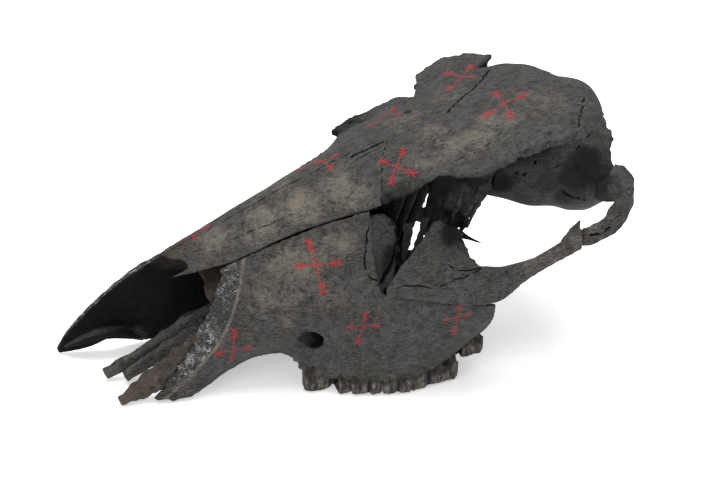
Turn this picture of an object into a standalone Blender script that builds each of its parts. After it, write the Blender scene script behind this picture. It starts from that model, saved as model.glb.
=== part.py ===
"""Skull of a young elk, without its lower jaw, as separate bones lying on a table.

The skull rests on its cheek teeth and on the tips of the snout. X is the
skull's left, Y runs from the snout to the back of the head and Z is up.
Sizes are in millimetres until a mesh is made, and metres after that.
"""

import math

import bmesh
import bpy
import numpy as np

MM = 0.001
GAP = 0.3                 # space kept between two bones that meet
HALF_GAP = GAP / 2
SEAM_PULL = 0.25          # half the gap where two curved edges meet, whose straight steps differ

# Driving sizes
SNOUT_TIP_Y = 1.5         # front of the right premaxilla
NASAL_TIP_Y = 62.0        # front of the nasal bones
NASAL_END_Y = 195.0       # back of the nasal bones on the midline
CORONAL_Y = 272.0         # seam between the frontals and the braincase
CREST_Y = 316.0           # crest at the back of the head, on the midline
TOP_Z = 150.0             # height of the crown over the table
FACE_WALL = 3.2           # thickness of the cheek plates
ROOF_WALL = 5.0           # thickness of the frontals, which hold air cells
BRAIN_WALL = 3.2          # thickness of the braincase wall
NASAL_WALL = 2.6
BEVEL_WALL = 9.0          # thickness of the broken front margin of the left cheek
BEVEL_SLOPE = 1.25        # forward reach of that margin's inner edge for each millimetre of thickness
PALATE_WALL = 3.4
THIN_WALL = 1.6           # plates inside the nose and the orbit
NOSE_AXIS = ((0, 60, 100, 130), (10, 35, 50, 60))  # height of the middle of the nasal cavity along Y

# Rails of the left side, each a line of (x, y, z) points from front to back
MIDLINE = [(0, NASAL_TIP_Y, 78.3), (0, 104.9, 98.5), (0, 142.8, 116.6), (0, 173, 129.4), (0, NASAL_END_Y, 137)]
NASAL_CROWN = [(8, 67, 77.6), (9, 104, 96.4), (11, 141, 113.8), (14, 172, 126.8), (17, 186, 133.2)]
NASAL_SHOULDER = [(13, 71, 73.8), (17, 103, 90), (22, 138, 106.6), (29, 172, 121), (33, 181, 126.4)]
NASAL_SEAM = [(15.8, 63.3, 71.6), (23.8, 102.4, 83.4), (30.8, 135.2, 99.4), (41.8, 172.1, 114.8), (45.5, 177.5, 119)]

FRONTAL_MID = [(0, NASAL_END_Y, 137), (0, 220, 142), (0, 248, 146.4), (0, CORONAL_Y, 149.4)]
FRONTAL_INNER = [(17, 186, 133.6), (18, 216, 140.4), (20, 246, 145.2), (21, CORONAL_Y, 149)]
FRONTAL_OUTER = [(33, 181, 127), (35, 212, 136.6), (37, 243, 143.2), (37, CORONAL_Y, 148)]
FRONTAL_EDGE = [(45.5, 177.5, 119), (46.2, 187, 123), (46, 197, 126), (45, 204, 130.4), (47.5, 212, 134.6),
                (51.5, 225, 134.2), (52, 238, 138), (49.5, 252, 143), (46.5, CORONAL_Y, 146.4)]
FRONTAL_EDGE_RIGHT = FRONTAL_EDGE[:6] + [(55, 238, 138.5), (60, 252, 142.5), (62, CORONAL_Y, 145.4)]

PARIETAL_MID = [(0, CORONAL_Y, 149.4), (0, 295, 151), (0, CREST_Y, TOP_Z)]
PARIETAL_INNER = [(21, CORONAL_Y, 149), (21, 292, 150.6), (17, 310, 149.4)]
PARIETAL_OUTER = [(37, CORONAL_Y, 148), (35, 287, 148.6), (30, 301, 148)]
PARIETAL_EDGE = [(46.5, CORONAL_Y, 146.4), (44, 284, 146.6), (39, 293, 145.6)]
PARIETAL_OUTER_RIGHT = [(37, CORONAL_Y, 148), (41, 290, 149.4), (33, 307, 149)]
PARIETAL_EDGE_RIGHT = [(61.5, CORONAL_Y, 145.4), (62, 287, 146.2), (54, 299, 147.4), (42, 306, 147.6)]

CHEEK_UPPER_SEAM = [(23.8, 102.4, 83.4), (30.8, 135.2, 99.4), (41.8, 172.1, 114.8)]
CHEEK_UPPER_MID = [(28.5, 97, 60), (38, 131, 79), (47, 173, 94)]
CHEEK_LINE = [(32.5, 88, 40), (38, 108, 50), (45, 135, 60), (52, 158, 66), (59, 175, 68.5)]
CHEEK_LINE_BACK = [(59, 175, 68.5), (64, 195, 66), (69, 212, 64), (73.5, 228, 63), (75, 238, 62)]
CHEEK_LOWER_MID = [(34.5, 70, 19), (36, 98, 30), (43, 135, 38), (57, 172, 45), (66, 205, 44), (68, 226, 44), (66, 239, 46)]
TOOTH_EDGE = [(34, 50, 0.8), (35, 67, 1), (28, 92, 11), (26, 110, 17), (29, 126, 17.6), (39, 133.5, 10.5),
              (51.5, 157, 9), (58, 180, 9), (58.5, 195, 9.5), (56, 214, 15), (52.5, 229, 24), (51, 240, 31)]

# Cheek teeth of one side: middle y, length, width, height of the crown tip, lobes
CHEEK_TEETH = [
    (142.5, 18.0, 12.0, 0.0, 1),
    (160.5, 17.5, 14.5, 0.0, 2),
    (178.0, 16.5, 16.0, 0.0, 2),
    (195.5, 18.5, 16.5, 0.0, 2),
    (215.0, 19.0, 16.5, 0.6, 2),
    (232.5, 15.0, 15.0, 14.0, 2),
]
TOOTH_OUTER_X = ((129, 137, 150, 160, 178, 190, 204, 215, 233, 245), (36, 42, 49, 54, 58.5, 60, 58, 56, 52, 50))
JAW_DEPTH = 19.0          # width of the solid part of the upper jaw

# Sections of that part: y, low z, middle x and z on the cheek side, high z
JAW_SECTIONS = [
    (131, 16, 36, 28, 38), (137, 11.5, 41, 30, 42), (157, 9.5, 48.5, 34, 46), (180, 9.5, 56, 36, 50),
    (196, 10, 60.5, 38, 52), (214, 15.5, 62, 40, 54), (229, 24, 63.5, 42, 54), (238.5, 33, 62, 45, 52),
]


# Shape helpers

def along(points, ts):
    """Points of a smooth curve through the given points, at fractions ts of its length."""
    p = np.array(points, float)
    steps = np.linalg.norm(np.diff(p, axis=0), axis=1)
    knots = np.concatenate([[0], np.cumsum(steps)]) / steps.sum()
    slope = np.gradient(p, knots, axis=0, edge_order=1)
    ts = np.clip(np.asarray(ts, float), 0, 1)
    k = np.clip(np.searchsorted(knots, ts, side="right") - 1, 0, len(p) - 2)
    span = (knots[k + 1] - knots[k])[:, None]
    s = ((ts - knots[k])[:, None]) / span
    h00, h10 = 2 * s**3 - 3 * s**2 + 1, s**3 - 2 * s**2 + s
    h01, h11 = -2 * s**3 + 3 * s**2, s**3 - s**2
    return h00 * p[k] + h10 * span * slope[k] + h01 * p[k + 1] + h11 * span * slope[k + 1]


def patch(rails, nu, nv, u=(0, 1), v=(0, 1)):
    """Grid of points over a surface that passes through the rails."""
    us = np.linspace(*u, nu)
    lines = np.stack([along(rail, us) for rail in rails])
    return np.stack([along(lines[:, i], np.linspace(*v, nv)) for i in range(nu)])


def normals_of(grid):
    du = np.gradient(grid, axis=0)
    dv = np.gradient(grid, axis=1)
    n = np.cross(du, dv)
    return n / np.maximum(np.linalg.norm(n, axis=2, keepdims=True), 1e-9)


def pulled_in(grid, u0=0.0, u1=0.0, v0=0.0, v1=0.0):
    """The grid with its border rows moved inwards by so many millimetres, which leaves the gap at a seam."""
    g = grid.copy()
    for row, nxt, d in ((0, 1, u0), (-1, -2, u1)):
        step = g[nxt] - g[row]
        g[row] += step * (d / np.maximum(np.linalg.norm(step, axis=1, keepdims=True), 1e-6))
    for col, nxt, d in ((0, 1, v0), (-1, -2, v1)):
        step = g[:, nxt] - g[:, col]
        g[:, col] += step * (d / np.maximum(np.linalg.norm(step, axis=1, keepdims=True), 1e-6))
    return g


def to_nose_axis(grid):
    """Thickness direction of the face: towards a line through the nasal cavity, with no part along Y."""
    axis_z = np.interp(grid[..., 1], *NOSE_AXIS)
    d = np.stack([-grid[..., 0], np.zeros(grid.shape[:2]), axis_z - grid[..., 2]], axis=-1)
    return d / np.linalg.norm(d, axis=2, keepdims=True)


def straight(x, y, z):
    def direction(grid):
        d = np.array([x, y, z], float)
        return np.broadcast_to(d / np.linalg.norm(d), grid.shape)
    return direction


def slab(grid, wall, direction=None):
    """Closed plate under a grid: vertices and triangles. The wall may vary over the grid."""
    nu, nv = grid.shape[:2]
    wall = np.broadcast_to(np.asarray(wall, float), (nu, nv))[..., None]
    if direction is None:
        n = normals_of(grid)
        outer, inner = grid + n * wall / 2, grid - n * wall / 2
    else:
        outer, inner = grid, grid + direction(grid) * wall
    points = np.concatenate([outer.reshape(-1, 3), inner.reshape(-1, 3)])
    under = nu * nv
    faces = []
    for i in range(nu - 1):
        for j in range(nv - 1):
            a, b, c, d = i * nv + j, (i + 1) * nv + j, (i + 1) * nv + j + 1, i * nv + j + 1
            faces += [(a, b, c), (a, c, d), (a + under, c + under, b + under), (a + under, d + under, c + under)]
    border = [i * nv for i in range(nu)] + [(nu - 1) * nv + j for j in range(1, nv)]
    border += [i * nv + nv - 1 for i in range(nu - 2, -1, -1)] + [j for j in range(nv - 2, 0, -1)]
    for a, b in zip(border, border[1:] + border[:1]):
        faces += [(a, a + under, b + under), (a, b + under, b)]
    return points, faces


def loft(rings):
    """Closed solid through rings of equal point counts, with its ends filled by fans."""
    rings = [np.array(ring, float) for ring in rings]
    n = len(rings[0])
    points = np.concatenate(rings + [rings[0].mean(axis=0)[None], rings[-1].mean(axis=0)[None]])
    first, last = n * len(rings), n * len(rings) + 1
    faces = []
    for k in range(len(rings) - 1):
        for i in range(n):
            a, b = k * n + i, k * n + (i + 1) % n
            faces += [(a, b, b + n), (a, b + n, a + n)]
    end = n * (len(rings) - 1)
    for i in range(n):
        faces += [(first, (i + 1) % n, i), (last, end + i, end + (i + 1) % n)]
    return points, faces


def ellipse_ring(centre, axis_a, axis_b, sides, squareness=2.0):
    """Ring of points on an ellipse, or on a squarer one where squareness is over 2."""
    angles = np.arange(sides) * 2 * math.pi / sides
    c, s = np.cos(angles), np.sin(angles)
    power = 2 / squareness
    c, s = np.sign(c) * abs(c) ** power, np.sign(s) * abs(s) ** power
    return np.array(centre) + np.outer(c, axis_a) + np.outer(s, axis_b)


def bar(path, widths, heights, sides=8, count=None, up=(0, 0, 1), squareness=2.4):
    """Closed bar along a smooth path. Widths lie across it and heights along up, each spread along its length."""
    count = count or 2 * len(path)
    ts = np.linspace(0, 1, count)
    centres = along(path, ts)
    knots = np.linspace(0, 1, len(widths))
    w, h = np.interp(ts, knots, widths), np.interp(ts, knots, heights)
    ways = np.gradient(centres, axis=0)
    rings = []
    for c, way, a, b in zip(centres, ways, w, h):
        way = way / np.linalg.norm(way)
        side = np.cross(way, up)
        side /= np.linalg.norm(side)
        top = np.cross(side, way)
        rings.append(ellipse_ring(c, side * a / 2, top * b / 2, sides, squareness))
    return loft(rings)


def wobble(values, size, pitch, phase=0.0):
    """Irregular but fixed zigzag for a broken or serrated margin."""
    v = np.asarray(values, float)
    return size * (np.sin(v / pitch + phase) + 0.6 * np.sin(2.3 * v / pitch + 1.7 + phase)
                   + 0.4 * np.sin(5.1 * v / pitch + 0.4 - phase)) / 1.6


# Blender helpers

def material(name, colour, roughness):
    mat = bpy.data.materials.get(name)
    if mat is None:
        mat = bpy.data.materials.new(name)
        mat.use_nodes = True
        shader = mat.node_tree.nodes["Principled BSDF"]
        shader.inputs["Base Color"].default_value = (*colour, 1)
        shader.inputs["Roughness"].default_value = roughness
        shader.inputs["Metallic"].default_value = 0.0
    return mat


def mesh_object(name, piece, side=1):
    """Object from (points, faces), mirrored where side is -1, with its faces turned outwards."""
    points, faces = piece
    points = np.asarray(points, float) * (side, 1, 1) * MM
    mesh = bpy.data.meshes.new(name)
    mesh.from_pydata([tuple(p) for p in points], [], [tuple(int(i) for i in f) for f in faces])
    bm = bmesh.new()
    bm.from_mesh(mesh)
    bmesh.ops.remove_doubles(bm, verts=bm.verts, dist=1e-6)
    bmesh.ops.dissolve_degenerate(bm, edges=bm.edges, dist=1e-6)
    bmesh.ops.recalc_face_normals(bm, faces=bm.faces)
    if bm.calc_volume(signed=True) < 0:
        bmesh.ops.reverse_faces(bm, faces=bm.faces)
    bm.to_mesh(mesh)
    bm.free()
    obj = bpy.data.objects.new(name, mesh)
    bpy.context.scene.collection.objects.link(obj)
    return obj


def combine(target, others, operation, solver="EXACT"):
    """One Boolean with a collection of closed pieces, applied, after which the pieces are removed."""
    if not others:
        return
    group = bpy.data.collections.new("operands")
    bpy.context.scene.collection.children.link(group)
    for other in others:
        bpy.context.scene.collection.objects.unlink(other)
        group.objects.link(other)
    modifier = target.modifiers.new("combine", "BOOLEAN")
    modifier.operation = operation
    modifier.operand_type = "COLLECTION"
    modifier.collection = group
    modifier.solver = solver
    bpy.context.view_layer.update()
    graph = bpy.context.evaluated_depsgraph_get()
    mesh = bpy.data.meshes.new_from_object(target.evaluated_get(graph))
    target.modifiers.clear()
    old = target.data
    target.data = mesh
    bpy.data.meshes.remove(old)
    for other in others:
        bpy.data.objects.remove(other)
    bpy.data.collections.remove(group)


def keep_largest(obj):
    """Leaves the largest closed surface, so that hollows sealed by fusing are filled and scraps go."""
    bm = bmesh.new()
    bm.from_mesh(obj.data)
    seen, groups = set(), []
    for start in bm.verts:
        if start in seen:
            continue
        stack, group = [start], []
        seen.add(start)
        while stack:
            vert = stack.pop()
            group.append(vert)
            for edge in vert.link_edges:
                other = edge.other_vert(vert)
                if other not in seen:
                    seen.add(other)
                    stack.append(other)
        groups.append(group)

    def reach(group):
        co = np.array([v.co for v in group])
        return np.prod(co.max(axis=0) - co.min(axis=0) + 1e-6)

    groups.sort(key=reach, reverse=True)
    bmesh.ops.delete(bm, geom=[v for group in groups[1:] for v in group], context="VERTS")
    bm.to_mesh(obj.data)
    bm.free()


def bone(name, pieces, side, colour, cutters=(), roughness=0.6, solver="EXACT"):
    """One bone: its pieces fused, its holes cut and its material set."""
    made = [mesh_object(f"{name}_piece", piece, side) for piece in pieces]
    target = made[0]
    target.name = name
    target.data.name = name
    combine(target, made[1:], "UNION", solver)
    combine(target, [mesh_object(f"{name}_cutter", cutter, side) for cutter in cutters], "DIFFERENCE", solver)
    keep_largest(target)
    target.data.name = name
    target.data.materials.clear()
    target.data.materials.append(material(f"{name}_bone", colour, roughness))
    target.data.shade_smooth()
    target.data.set_sharp_from_angle(angle=math.radians(35))
    return target


# Roof of the skull

def nasal(side):
    grid = patch([MIDLINE, NASAL_CROWN, NASAL_SHOULDER, NASAL_SEAM], 13, 7)
    grid = pulled_in(grid, u1=HALF_GAP, v0=HALF_GAP, v1=SEAM_PULL)
    thin_tip = np.interp(np.linspace(0, 1, 13), [0, 0.15, 1], [0.5, 1, 1])[:, None]
    return [slab(grid, NASAL_WALL * thin_tip, to_nose_axis)]


def frontal_plate(side):
    edge = FRONTAL_EDGE if side > 0 else FRONTAL_EDGE_RIGHT
    grid = patch([FRONTAL_MID, FRONTAL_INNER, FRONTAL_OUTER, edge], 11, 7)
    grid = pulled_in(grid, u0=HALF_GAP, u1=HALF_GAP, v0=HALF_GAP)
    edge_share = np.interp(np.linspace(0, 1, 11), [0, 0.5, 0.65, 1], [0.45, 0.5, 1.1, 1.2] if side > 0 else [0.45] * 4)
    across = np.interp(np.linspace(0, 1, 7), [0, 0.7, 1], [0, 0, 1])
    wall = ROOF_WALL * (1 + np.outer(edge_share - 1, across))
    return slab(grid, wall, straight(0, 0, -1))


def orbit_wall():
    """Inner wall of the orbit, which hangs from the frontal as far as the base of the skull."""
    top = [(31, 214, 134), (33, 228, 137), (34, 245.5, 139.5)]
    middle = [(27, 210, 108), (28, 226, 110), (31, 245.5, 118)]
    low = [(24, 207, 84), (23, 222, 81), (26, 241, 98)]
    wall = slab(patch([top, middle, low], 7, 6), THIN_WALL + 0.6)
    strut = bar([(35, 242.5, 137), (31, 240, 118), (27, 235, 98), (24, 230, 82.5)], [6, 5, 4, 3], [6, 6, 6, 4],
                sides=7, up=(1, 0, 0))
    return [wall, strut]


def frontal(side):
    pieces = [frontal_plate(side)] + orbit_wall()
    if side < 0:
        inner = [(46, 222, 133.4), (48, 240, 138.6), (52, 256, 143), (54, 267, 145)]
        middle = [(60, 229, 136), (67, 245, 140.5), (70, 259, 144), (67.5, 272, 144.6)]
        outer = [(80, 237, 136.5), (86, 251, 142), (85.5, 272, 144.6), (80, 285, 144.6)]
        pieces.append(slab(patch([inner, middle, outer], 9, 6), 3.6, straight(0, 0, -1)))
        post = bar([(78, 276, 141), (77, 281, 130), (75, 284, 118), (73, 285, 109.4)], [9, 6, 5, 6], [5, 4, 4, 4],
                   sides=7, up=(1, 0, 0))
        pieces.append(post)
        wing = bar([(41, 196, 124.5), (45, 185, 121.5), (49, 174, 119.6)], [13, 11, 3], [3, 3, 1.6], sides=6)
        pieces.append(wing)
    return pieces


def supraorbital_hole():
    return [bar([(24.5, 213, 150), (24, 215, 120)], [5, 5], [4, 4], sides=6, count=2, up=(0, 1, 0))]


# Braincase

BRAIN_SECTIONS = [
    # y, top z, (shoulder x, z), (side x, z), (low x, z), (base x, z), base z on the midline
    (247, 136, (24, 134), (33, 120), (26, 108), (12, 100), 99),
    (258, 138, (33, 136), (40, 122), (31, 106), (14, 97), 95),
    (271, 140, (37, 138), (45, 123), (37, 103), (16, 93), 91),
    (284, 145, (39, 143), (47, 124), (42, 104), (19, 92.5), 90),
    (297, 146, (38, 142), (47, 126), (45, 104), (21, 88), 86),
    (307, 146, (33, 140), (44, 127), (44, 106), (23, 87), 85),
    (315, 146, (26, 141), (40, 130), (41, 109), (23, 89), 87),
]


def brain_ring(section, inset, shift_y=0.0):
    y, top, shoulder, side, low, base, floor = section
    half = [(0, top), shoulder, side, low, base, (0, floor)]
    centre = np.array([0, (top + floor) / 2])
    ring = along([(x, 0, z) for x, z in half], np.linspace(0, 1, 11))[:, [0, 2]]
    away = ring - centre
    away /= np.maximum(np.linalg.norm(away, axis=1, keepdims=True), 1e-6)
    ring = ring - away * inset
    full = np.concatenate([ring, ring[-2:0:-1] * (-1, 1)])
    return np.stack([full[:, 0], np.full(len(full), y + shift_y), full[:, 1]], axis=1)


def braincase_pieces():
    """Hollow cup of the braincase, open behind, under a roof plate and a piece of the nuchal face."""
    outer = [brain_ring(s, 0) for s in BRAIN_SECTIONS]
    inner = [brain_ring(s, BRAIN_WALL) for s in BRAIN_SECTIONS[1:]]
    n = len(outer[0])
    jag = wobble(np.arange(n) * 9.0, 2.2, 7.0)
    outer[-1][:, 1] += jag
    inner[-1][:, 1] += jag
    rings = outer + inner[::-1]
    cup = loft(rings)
    pieces = [cup]
    for side, outer_rail, edge in ((1, PARIETAL_OUTER, PARIETAL_EDGE), (-1, PARIETAL_OUTER_RIGHT, PARIETAL_EDGE_RIGHT)):
        roof = pulled_in(patch([PARIETAL_MID, PARIETAL_INNER, outer_rail, edge], 7, 7), u0=HALF_GAP)
        roof[:, 0, 0] = -0.5  # laps over the other half
        points, faces = slab(roof, ROOF_WALL, straight(0, 0, -1))
        pieces.append((points * (side, 1, 1), faces))
    crest_top = [(38, 292, 144.6), (30, 300, 146.4), (17, 309, 148), (0, 314.5, 148.4)]
    crest_low = [(40, 303, 136), (31, 311, 137), (18, 318, 138.6), (0, 321, 139.6)]
    full = [[(-x, y, z) for x, y, z in line[:-1]] + line[::-1] for line in (crest_top, crest_low)]
    face = patch(full, 15, 3)
    face[:, -1, 2] += wobble(np.arange(15) * 6.0, 2.0, 6.0, 1.0)
    face[:, -1, 1] += wobble(np.arange(15) * 6.0, 1.0, 5.0, 0.3)
    pieces.append(slab(face, 4.0))
    stem = bar([(0, 252, 98), (0, 236, 100), (0, 220, 98)], [20, 14, 7], [10, 9, 6], sides=8, count=5)
    pieces.append(stem)
    return pieces


# Face

def cheek_plates(side):
    """The two halves of the cheek plate of the upper jaw, above and below the line where it bulges most.

    On the left its front margin is broken, thick and bevelled, with the inner edge well ahead of the outer one.
    """
    def bevelled(grid):
        d = to_nose_axis(grid)
        d[0, :, 1] -= BEVEL_SLOPE
        return d

    u = np.linspace(0, 1, 12)
    direction = bevelled if side > 0 else to_nose_axis
    upper = patch([CHEEK_UPPER_SEAM, CHEEK_UPPER_MID, CHEEK_LINE], 12, 7)
    upper = pulled_in(upper, v0=SEAM_PULL)
    upper[:, -1] += (-0.7, 0.3, -1.8)  # laps under the lower plate
    lower = patch([CHEEK_LINE + CHEEK_LINE_BACK[1:], CHEEK_LOWER_MID, TOOTH_EDGE], 19, 7)
    front = BEVEL_WALL if side > 0 else FACE_WALL
    upper_wall = np.interp(u, [0, 0.12, 1], [front, FACE_WALL, FACE_WALL])[:, None]
    lower_front = np.linspace(front, FACE_WALL, 7)[None, :]
    share = np.interp(np.linspace(0, 1, 19), [0, 0.12, 1], [1, 0, 0])[:, None]
    lower_wall = share * lower_front + (1 - share) * (FACE_WALL + 0.6)
    return [slab(upper, upper_wall, direction), slab(lower, lower_wall, direction)]


def tooth_outer_x(y):
    return float(np.interp(y, *TOOTH_OUTER_X))


def jaw_body():
    """Solid part of the upper jaw, which carries the sockets."""
    rings = []
    for y, low, middle_x, middle_z, high in JAW_SECTIONS:
        edge = tooth_outer_x(y) - 1.5
        inner = edge - (JAW_DEPTH if 135 < y < 235 else JAW_DEPTH - 5)
        rings.append([(inner, y, low), (edge, y, low), (middle_x, y, middle_z), (middle_x - 3, y, high),
                      (inner + 4, y, high), (inner - 1, y, middle_z)])
    return loft(rings)


def palate_grid(y0, y1, count, reach):
    """Half of the vaulted roof of the mouth, from the midline to so far inside the teeth's outer faces."""
    rows = []
    for y in np.linspace(y0, y1, count):
        outer = tooth_outer_x(y) - reach if y > 137 else np.interp(y, [60, 92, 131, 137], [32, 25, 24, 26])
        crown = np.interp(y, [60, 85, 135, 206], [22, 32, 37, 44])
        edge = np.interp(y, [60, 92, 131, 157, 206], [8, 14, 21, 22, 30])
        t = np.linspace(0, 1, 5)
        rows.append(np.stack([HALF_GAP + (outer - HALF_GAP) * t, np.full(5, y), crown + (edge - crown) * t**2.2], axis=1))
    return np.array(rows)


def tooth(y, length, width, tip, lobes):
    """A cheek tooth with its lobes side by side, its root sunk in the jaw and its cusps worn to ridges."""
    solids = []
    crown = 11.0 if tip < 1 else 9.0
    for k in range(lobes):
        middle = y + (k - (lobes - 1) / 2) * length / lobes
        span = length / lobes * (0.56 if lobes > 1 else 0.5)
        x = tooth_outer_x(middle) - width / 2
        rings = []
        for share, swell, squareness in ((0.0, 0.86, 2.4), (0.35, 1.0, 2.8), (0.8, 0.97, 2.8), (1.35, 0.8, 2.8)):
            z = tip + crown * share
            rings.append(ellipse_ring((x, middle, z), (width / 2 * swell, 0, 0), (0, span * swell, 0), 8, squareness))
        rings[0][:, 2] = np.where(abs(rings[0][:, 0] - x) > 2, tip, tip + 1.4)
        solids.append(loft(rings))
    return solids


def recess_strip():
    """Sunken strip behind the cheek plate that the missing lacrimal bone once covered."""
    front = [(40.5, 170, 109), (43.5, 171, 93), (50, 172.5, 78), (56, 174, 66)]
    middle = [(37.5, 177, 109.5), (39, 180.5, 98), (42, 181.5, 84), (52, 179.5, 68)]
    back = [(38, 181.5, 109), (38, 189, 101), (39.5, 189, 84), (52, 183, 67)]
    return slab(patch([front, middle, back], 7, 5), THIN_WALL + 0.4)


def maxilla(side):
    pieces = cheek_plates(side) + [jaw_body(), recess_strip()]
    pieces.append(slab(palate_grid(74, 196, 10, 14), PALATE_WALL, straight(0, 0, 1)))
    for sizes in CHEEK_TEETH:
        pieces += tooth(*sizes)
    return pieces


def infraorbital_hole():
    return [bar([(56, 130, 35), (44, 137, 35.5), (34, 150, 37)], [12, 10, 8], [8.5, 8.5, 7], sides=8, count=4)]


def worn_tunnel():
    """Worn opening through the back of the right upper jaw, which lets light in under the orbit."""
    return [bar([(14, 215.5, 61), (74, 233.5, 27)], [19, 19], [19, 19], sides=8, count=2)]


PREMAXILLA_RAILS = [
    [(34.5, SNOUT_TIP_Y, 3.5), (33, 6.5, 13.5), (30, 14, 24.5), (28, 30, 41.5), (26.5, 47, 55), (24.5, 68, 67.5),
     (22.8, 92, 79), (23.8, 102.4, 83.4)],
    [(35, 1.6, 2.8), (33.5, 9, 11), (31.5, 20, 21), (30.5, 38, 36), (29.5, 62, 50), (28.5, 97, 60)],
    [(35, 1.7, 2.0), (33.5, 10, 7.5), (32, 22, 14), (31.5, 38, 24), (32, 60, 32), (32.5, 88, 40)],
    [(34.5, 2, 1.2), (33.5, 11, 3.5), (32.5, 22, 7), (32.5, 36, 13), (33, 52, 15), (34.5, 70, 19)],
    [(33.5, 2.5, 0.6), (33, 12, 0.8), (32.5, 22, 2.6), (32.5, 35, 6.5), (33.5, 44, 3.4), (34, 50, 0.8)],
]


def premaxilla(side):
    """Whole on the right, and on the left only the stub of its body beside the jaw."""
    if side > 0:
        stub = bar([(28, 31, 4.2), (26.6, 43, 6.6), (25, 56, 10.5), (23.5, 65, 14), (22, 72.5, 17)], [5, 7, 7.5, 6, 4],
                   [7, 11, 13, 11, 6], sides=8)
        return [stub]
    grid = pulled_in(patch(PREMAXILLA_RAILS, 14, 7), u1=1.0)
    plate = slab(grid, 3.0, to_nose_axis)
    shelf = bar([(31, 7, 5.5), (27.5, 15, 11), (25, 27, 15.5), (24, 41, 14), (26.5, 55, 8)], [7, 11, 13, 12, 6], [3.2] * 5,
                sides=8)
    return [plate, shelf]


def palatine_process(side):
    """Thin bar that runs forward near the midline under the nose. The left one is shorter, and both lean left."""
    if side > 0:
        path = [(9, 37, 6), (8, 50, 12.5), (6, 66, 20.5), (5, 72, 23.4)]
    else:
        path = [(-2, 26, 4.3), (-1, 45, 13), (1.5, 64, 22), (3, 72, 25.5)]
    return [bar(path, [5.5, 6, 6, 4], [7, 8, 8, 6], sides=8)]


# Cheek bone and arch

ARCH_TOP = [(60, 177, 73.5), (63.5, 194, 80), (66.5, 211, 84), (69, 227, 86), (70.5, 241, 84.5), (70.5, 257, 87),
            (69.5, 271, 92.5), (68.4, 287.4, 101.5)]
ARCH_LOW = [(60, 177, 69.6), (65, 195, 67), (70, 212, 65), (74, 228, 64), (75.3, 239, 66), (73.5, 252, 75.5),
            (71.5, 265, 81), (68.4, 287.4, 89.5)]


def zygomatic(side):
    middle = [tuple((np.array(a) + np.array(b)) / 2 + (1.2, 0, 0)) for a, b in zip(ARCH_TOP, ARCH_LOW)]
    plate = slab(patch([ARCH_TOP, middle, ARCH_LOW], 16, 4), 4.2)
    rim = [(59.5, 178, 74), (62, 194, 80), (65, 211, 84), (67.5, 228, 85.5)]
    bowl = [(58.5, 182, 79), (57, 197, 86), (55, 211, 90), (56, 226, 87)]
    inner = [(58, 186, 84), (51, 200, 95), (42.5, 210, 102), (42, 225, 94)]
    floor = slab(patch([rim, bowl, inner], 9, 5), THIN_WALL + 0.8)
    spike_top = (70.5, 285, 108) if side > 0 else (72, 285, 106.8)
    tip = 1.2 if side > 0 else 5
    spike = bar([(69.5, 280, 94), (70, 282.5, 101), spike_top], [9, 7, tip], [4, 4, tip],
                sides=7, up=(1, 0, 0))
    return [plate, floor, spike]


def arch_root():
    """Back of the arch: the process that leaves the side of the braincase and turns forward."""
    path = [(68.4, 288.1, 95.8), (67.8, 296, 96.2), (65.5, 306, 100), (62.5, 313, 107), (59, 316.5, 114.5),
            (53.5, 315.5, 118.5), (49, 312.5, 119)]
    return [bar(path, [4, 5, 6, 7, 8, 10, 12], [10, 12, 13, 13, 13, 14, 17], sides=8, count=11)]


# Inside of the nose and the back of the palate

def palatine():
    shelf = palate_grid(196 + GAP, 207, 3, 23)
    pieces = [slab(shelf, PALATE_WALL, straight(0, 0, 1))]
    top = [(20, 199, 70), (19, 214, 74), (19.5, 231, 79)]
    middle = [(23, 198, 56), (21, 213, 60), (21, 235, 66)]
    low = [(26, 198.5, 42), (24, 212, 46), (22, 231, 52)]
    pieces.append(slab(patch([top, middle, low], 6, 6), THIN_WALL + 0.4))
    return pieces


def vomer():
    top = [(0, 96, 54), (0, 130, 66), (0, 165, 78), (0, 194, 88)]
    low = [(0, 88, 37), (0, 130, 42), (0, 165, 45), (0, 194, 50)]
    return [slab(patch([top, low], 9, 4), 2.4)]


def turbinate():
    """Scroll of thin bone that hangs inside the nasal cavity from its side wall."""
    roll = [(10, 84, 60), (12, 110, 70), (15, 140, 82), (18, 166, 92)]
    belly = [(15.5, 84, 57), (23, 110, 68), (28, 140, 80), (30, 166, 90)]
    lip = [(14.5, 88, 49), (22, 110, 56), (26, 140, 66), (28, 166, 78)]
    curl = [(10, 88, 46), (14, 110, 52), (17, 140, 62), (18, 166, 74)]
    return [slab(patch([roll, belly, lip, curl], 8, 8), THIN_WALL)]


def ethmoid():
    """Folded plates at the front of the orbit, seen where the lacrimal bone is missing."""
    pieces = []
    for k in range(3):
        y = 183 + 6 * k
        top = [(12, y + 13, 112), (20, y + 15, 117), (25.5, y + 17, 118 - k)]
        low = [(11, y + 3, 84), (21, y, 80), (34, y - 1, 77 + k)]
        pieces.append(slab(patch([top, low], 5, 4), THIN_WALL))
    pieces.append(bar([(13, 188, 102), (12, 202, 104), (12, 214, 104)], [3, 3, 3], [16, 15, 12], sides=8, count=4))
    return pieces


DARK, GREY, BROWN = (0.045, 0.042, 0.040), (0.11, 0.105, 0.098), (0.16, 0.12, 0.085)


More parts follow.
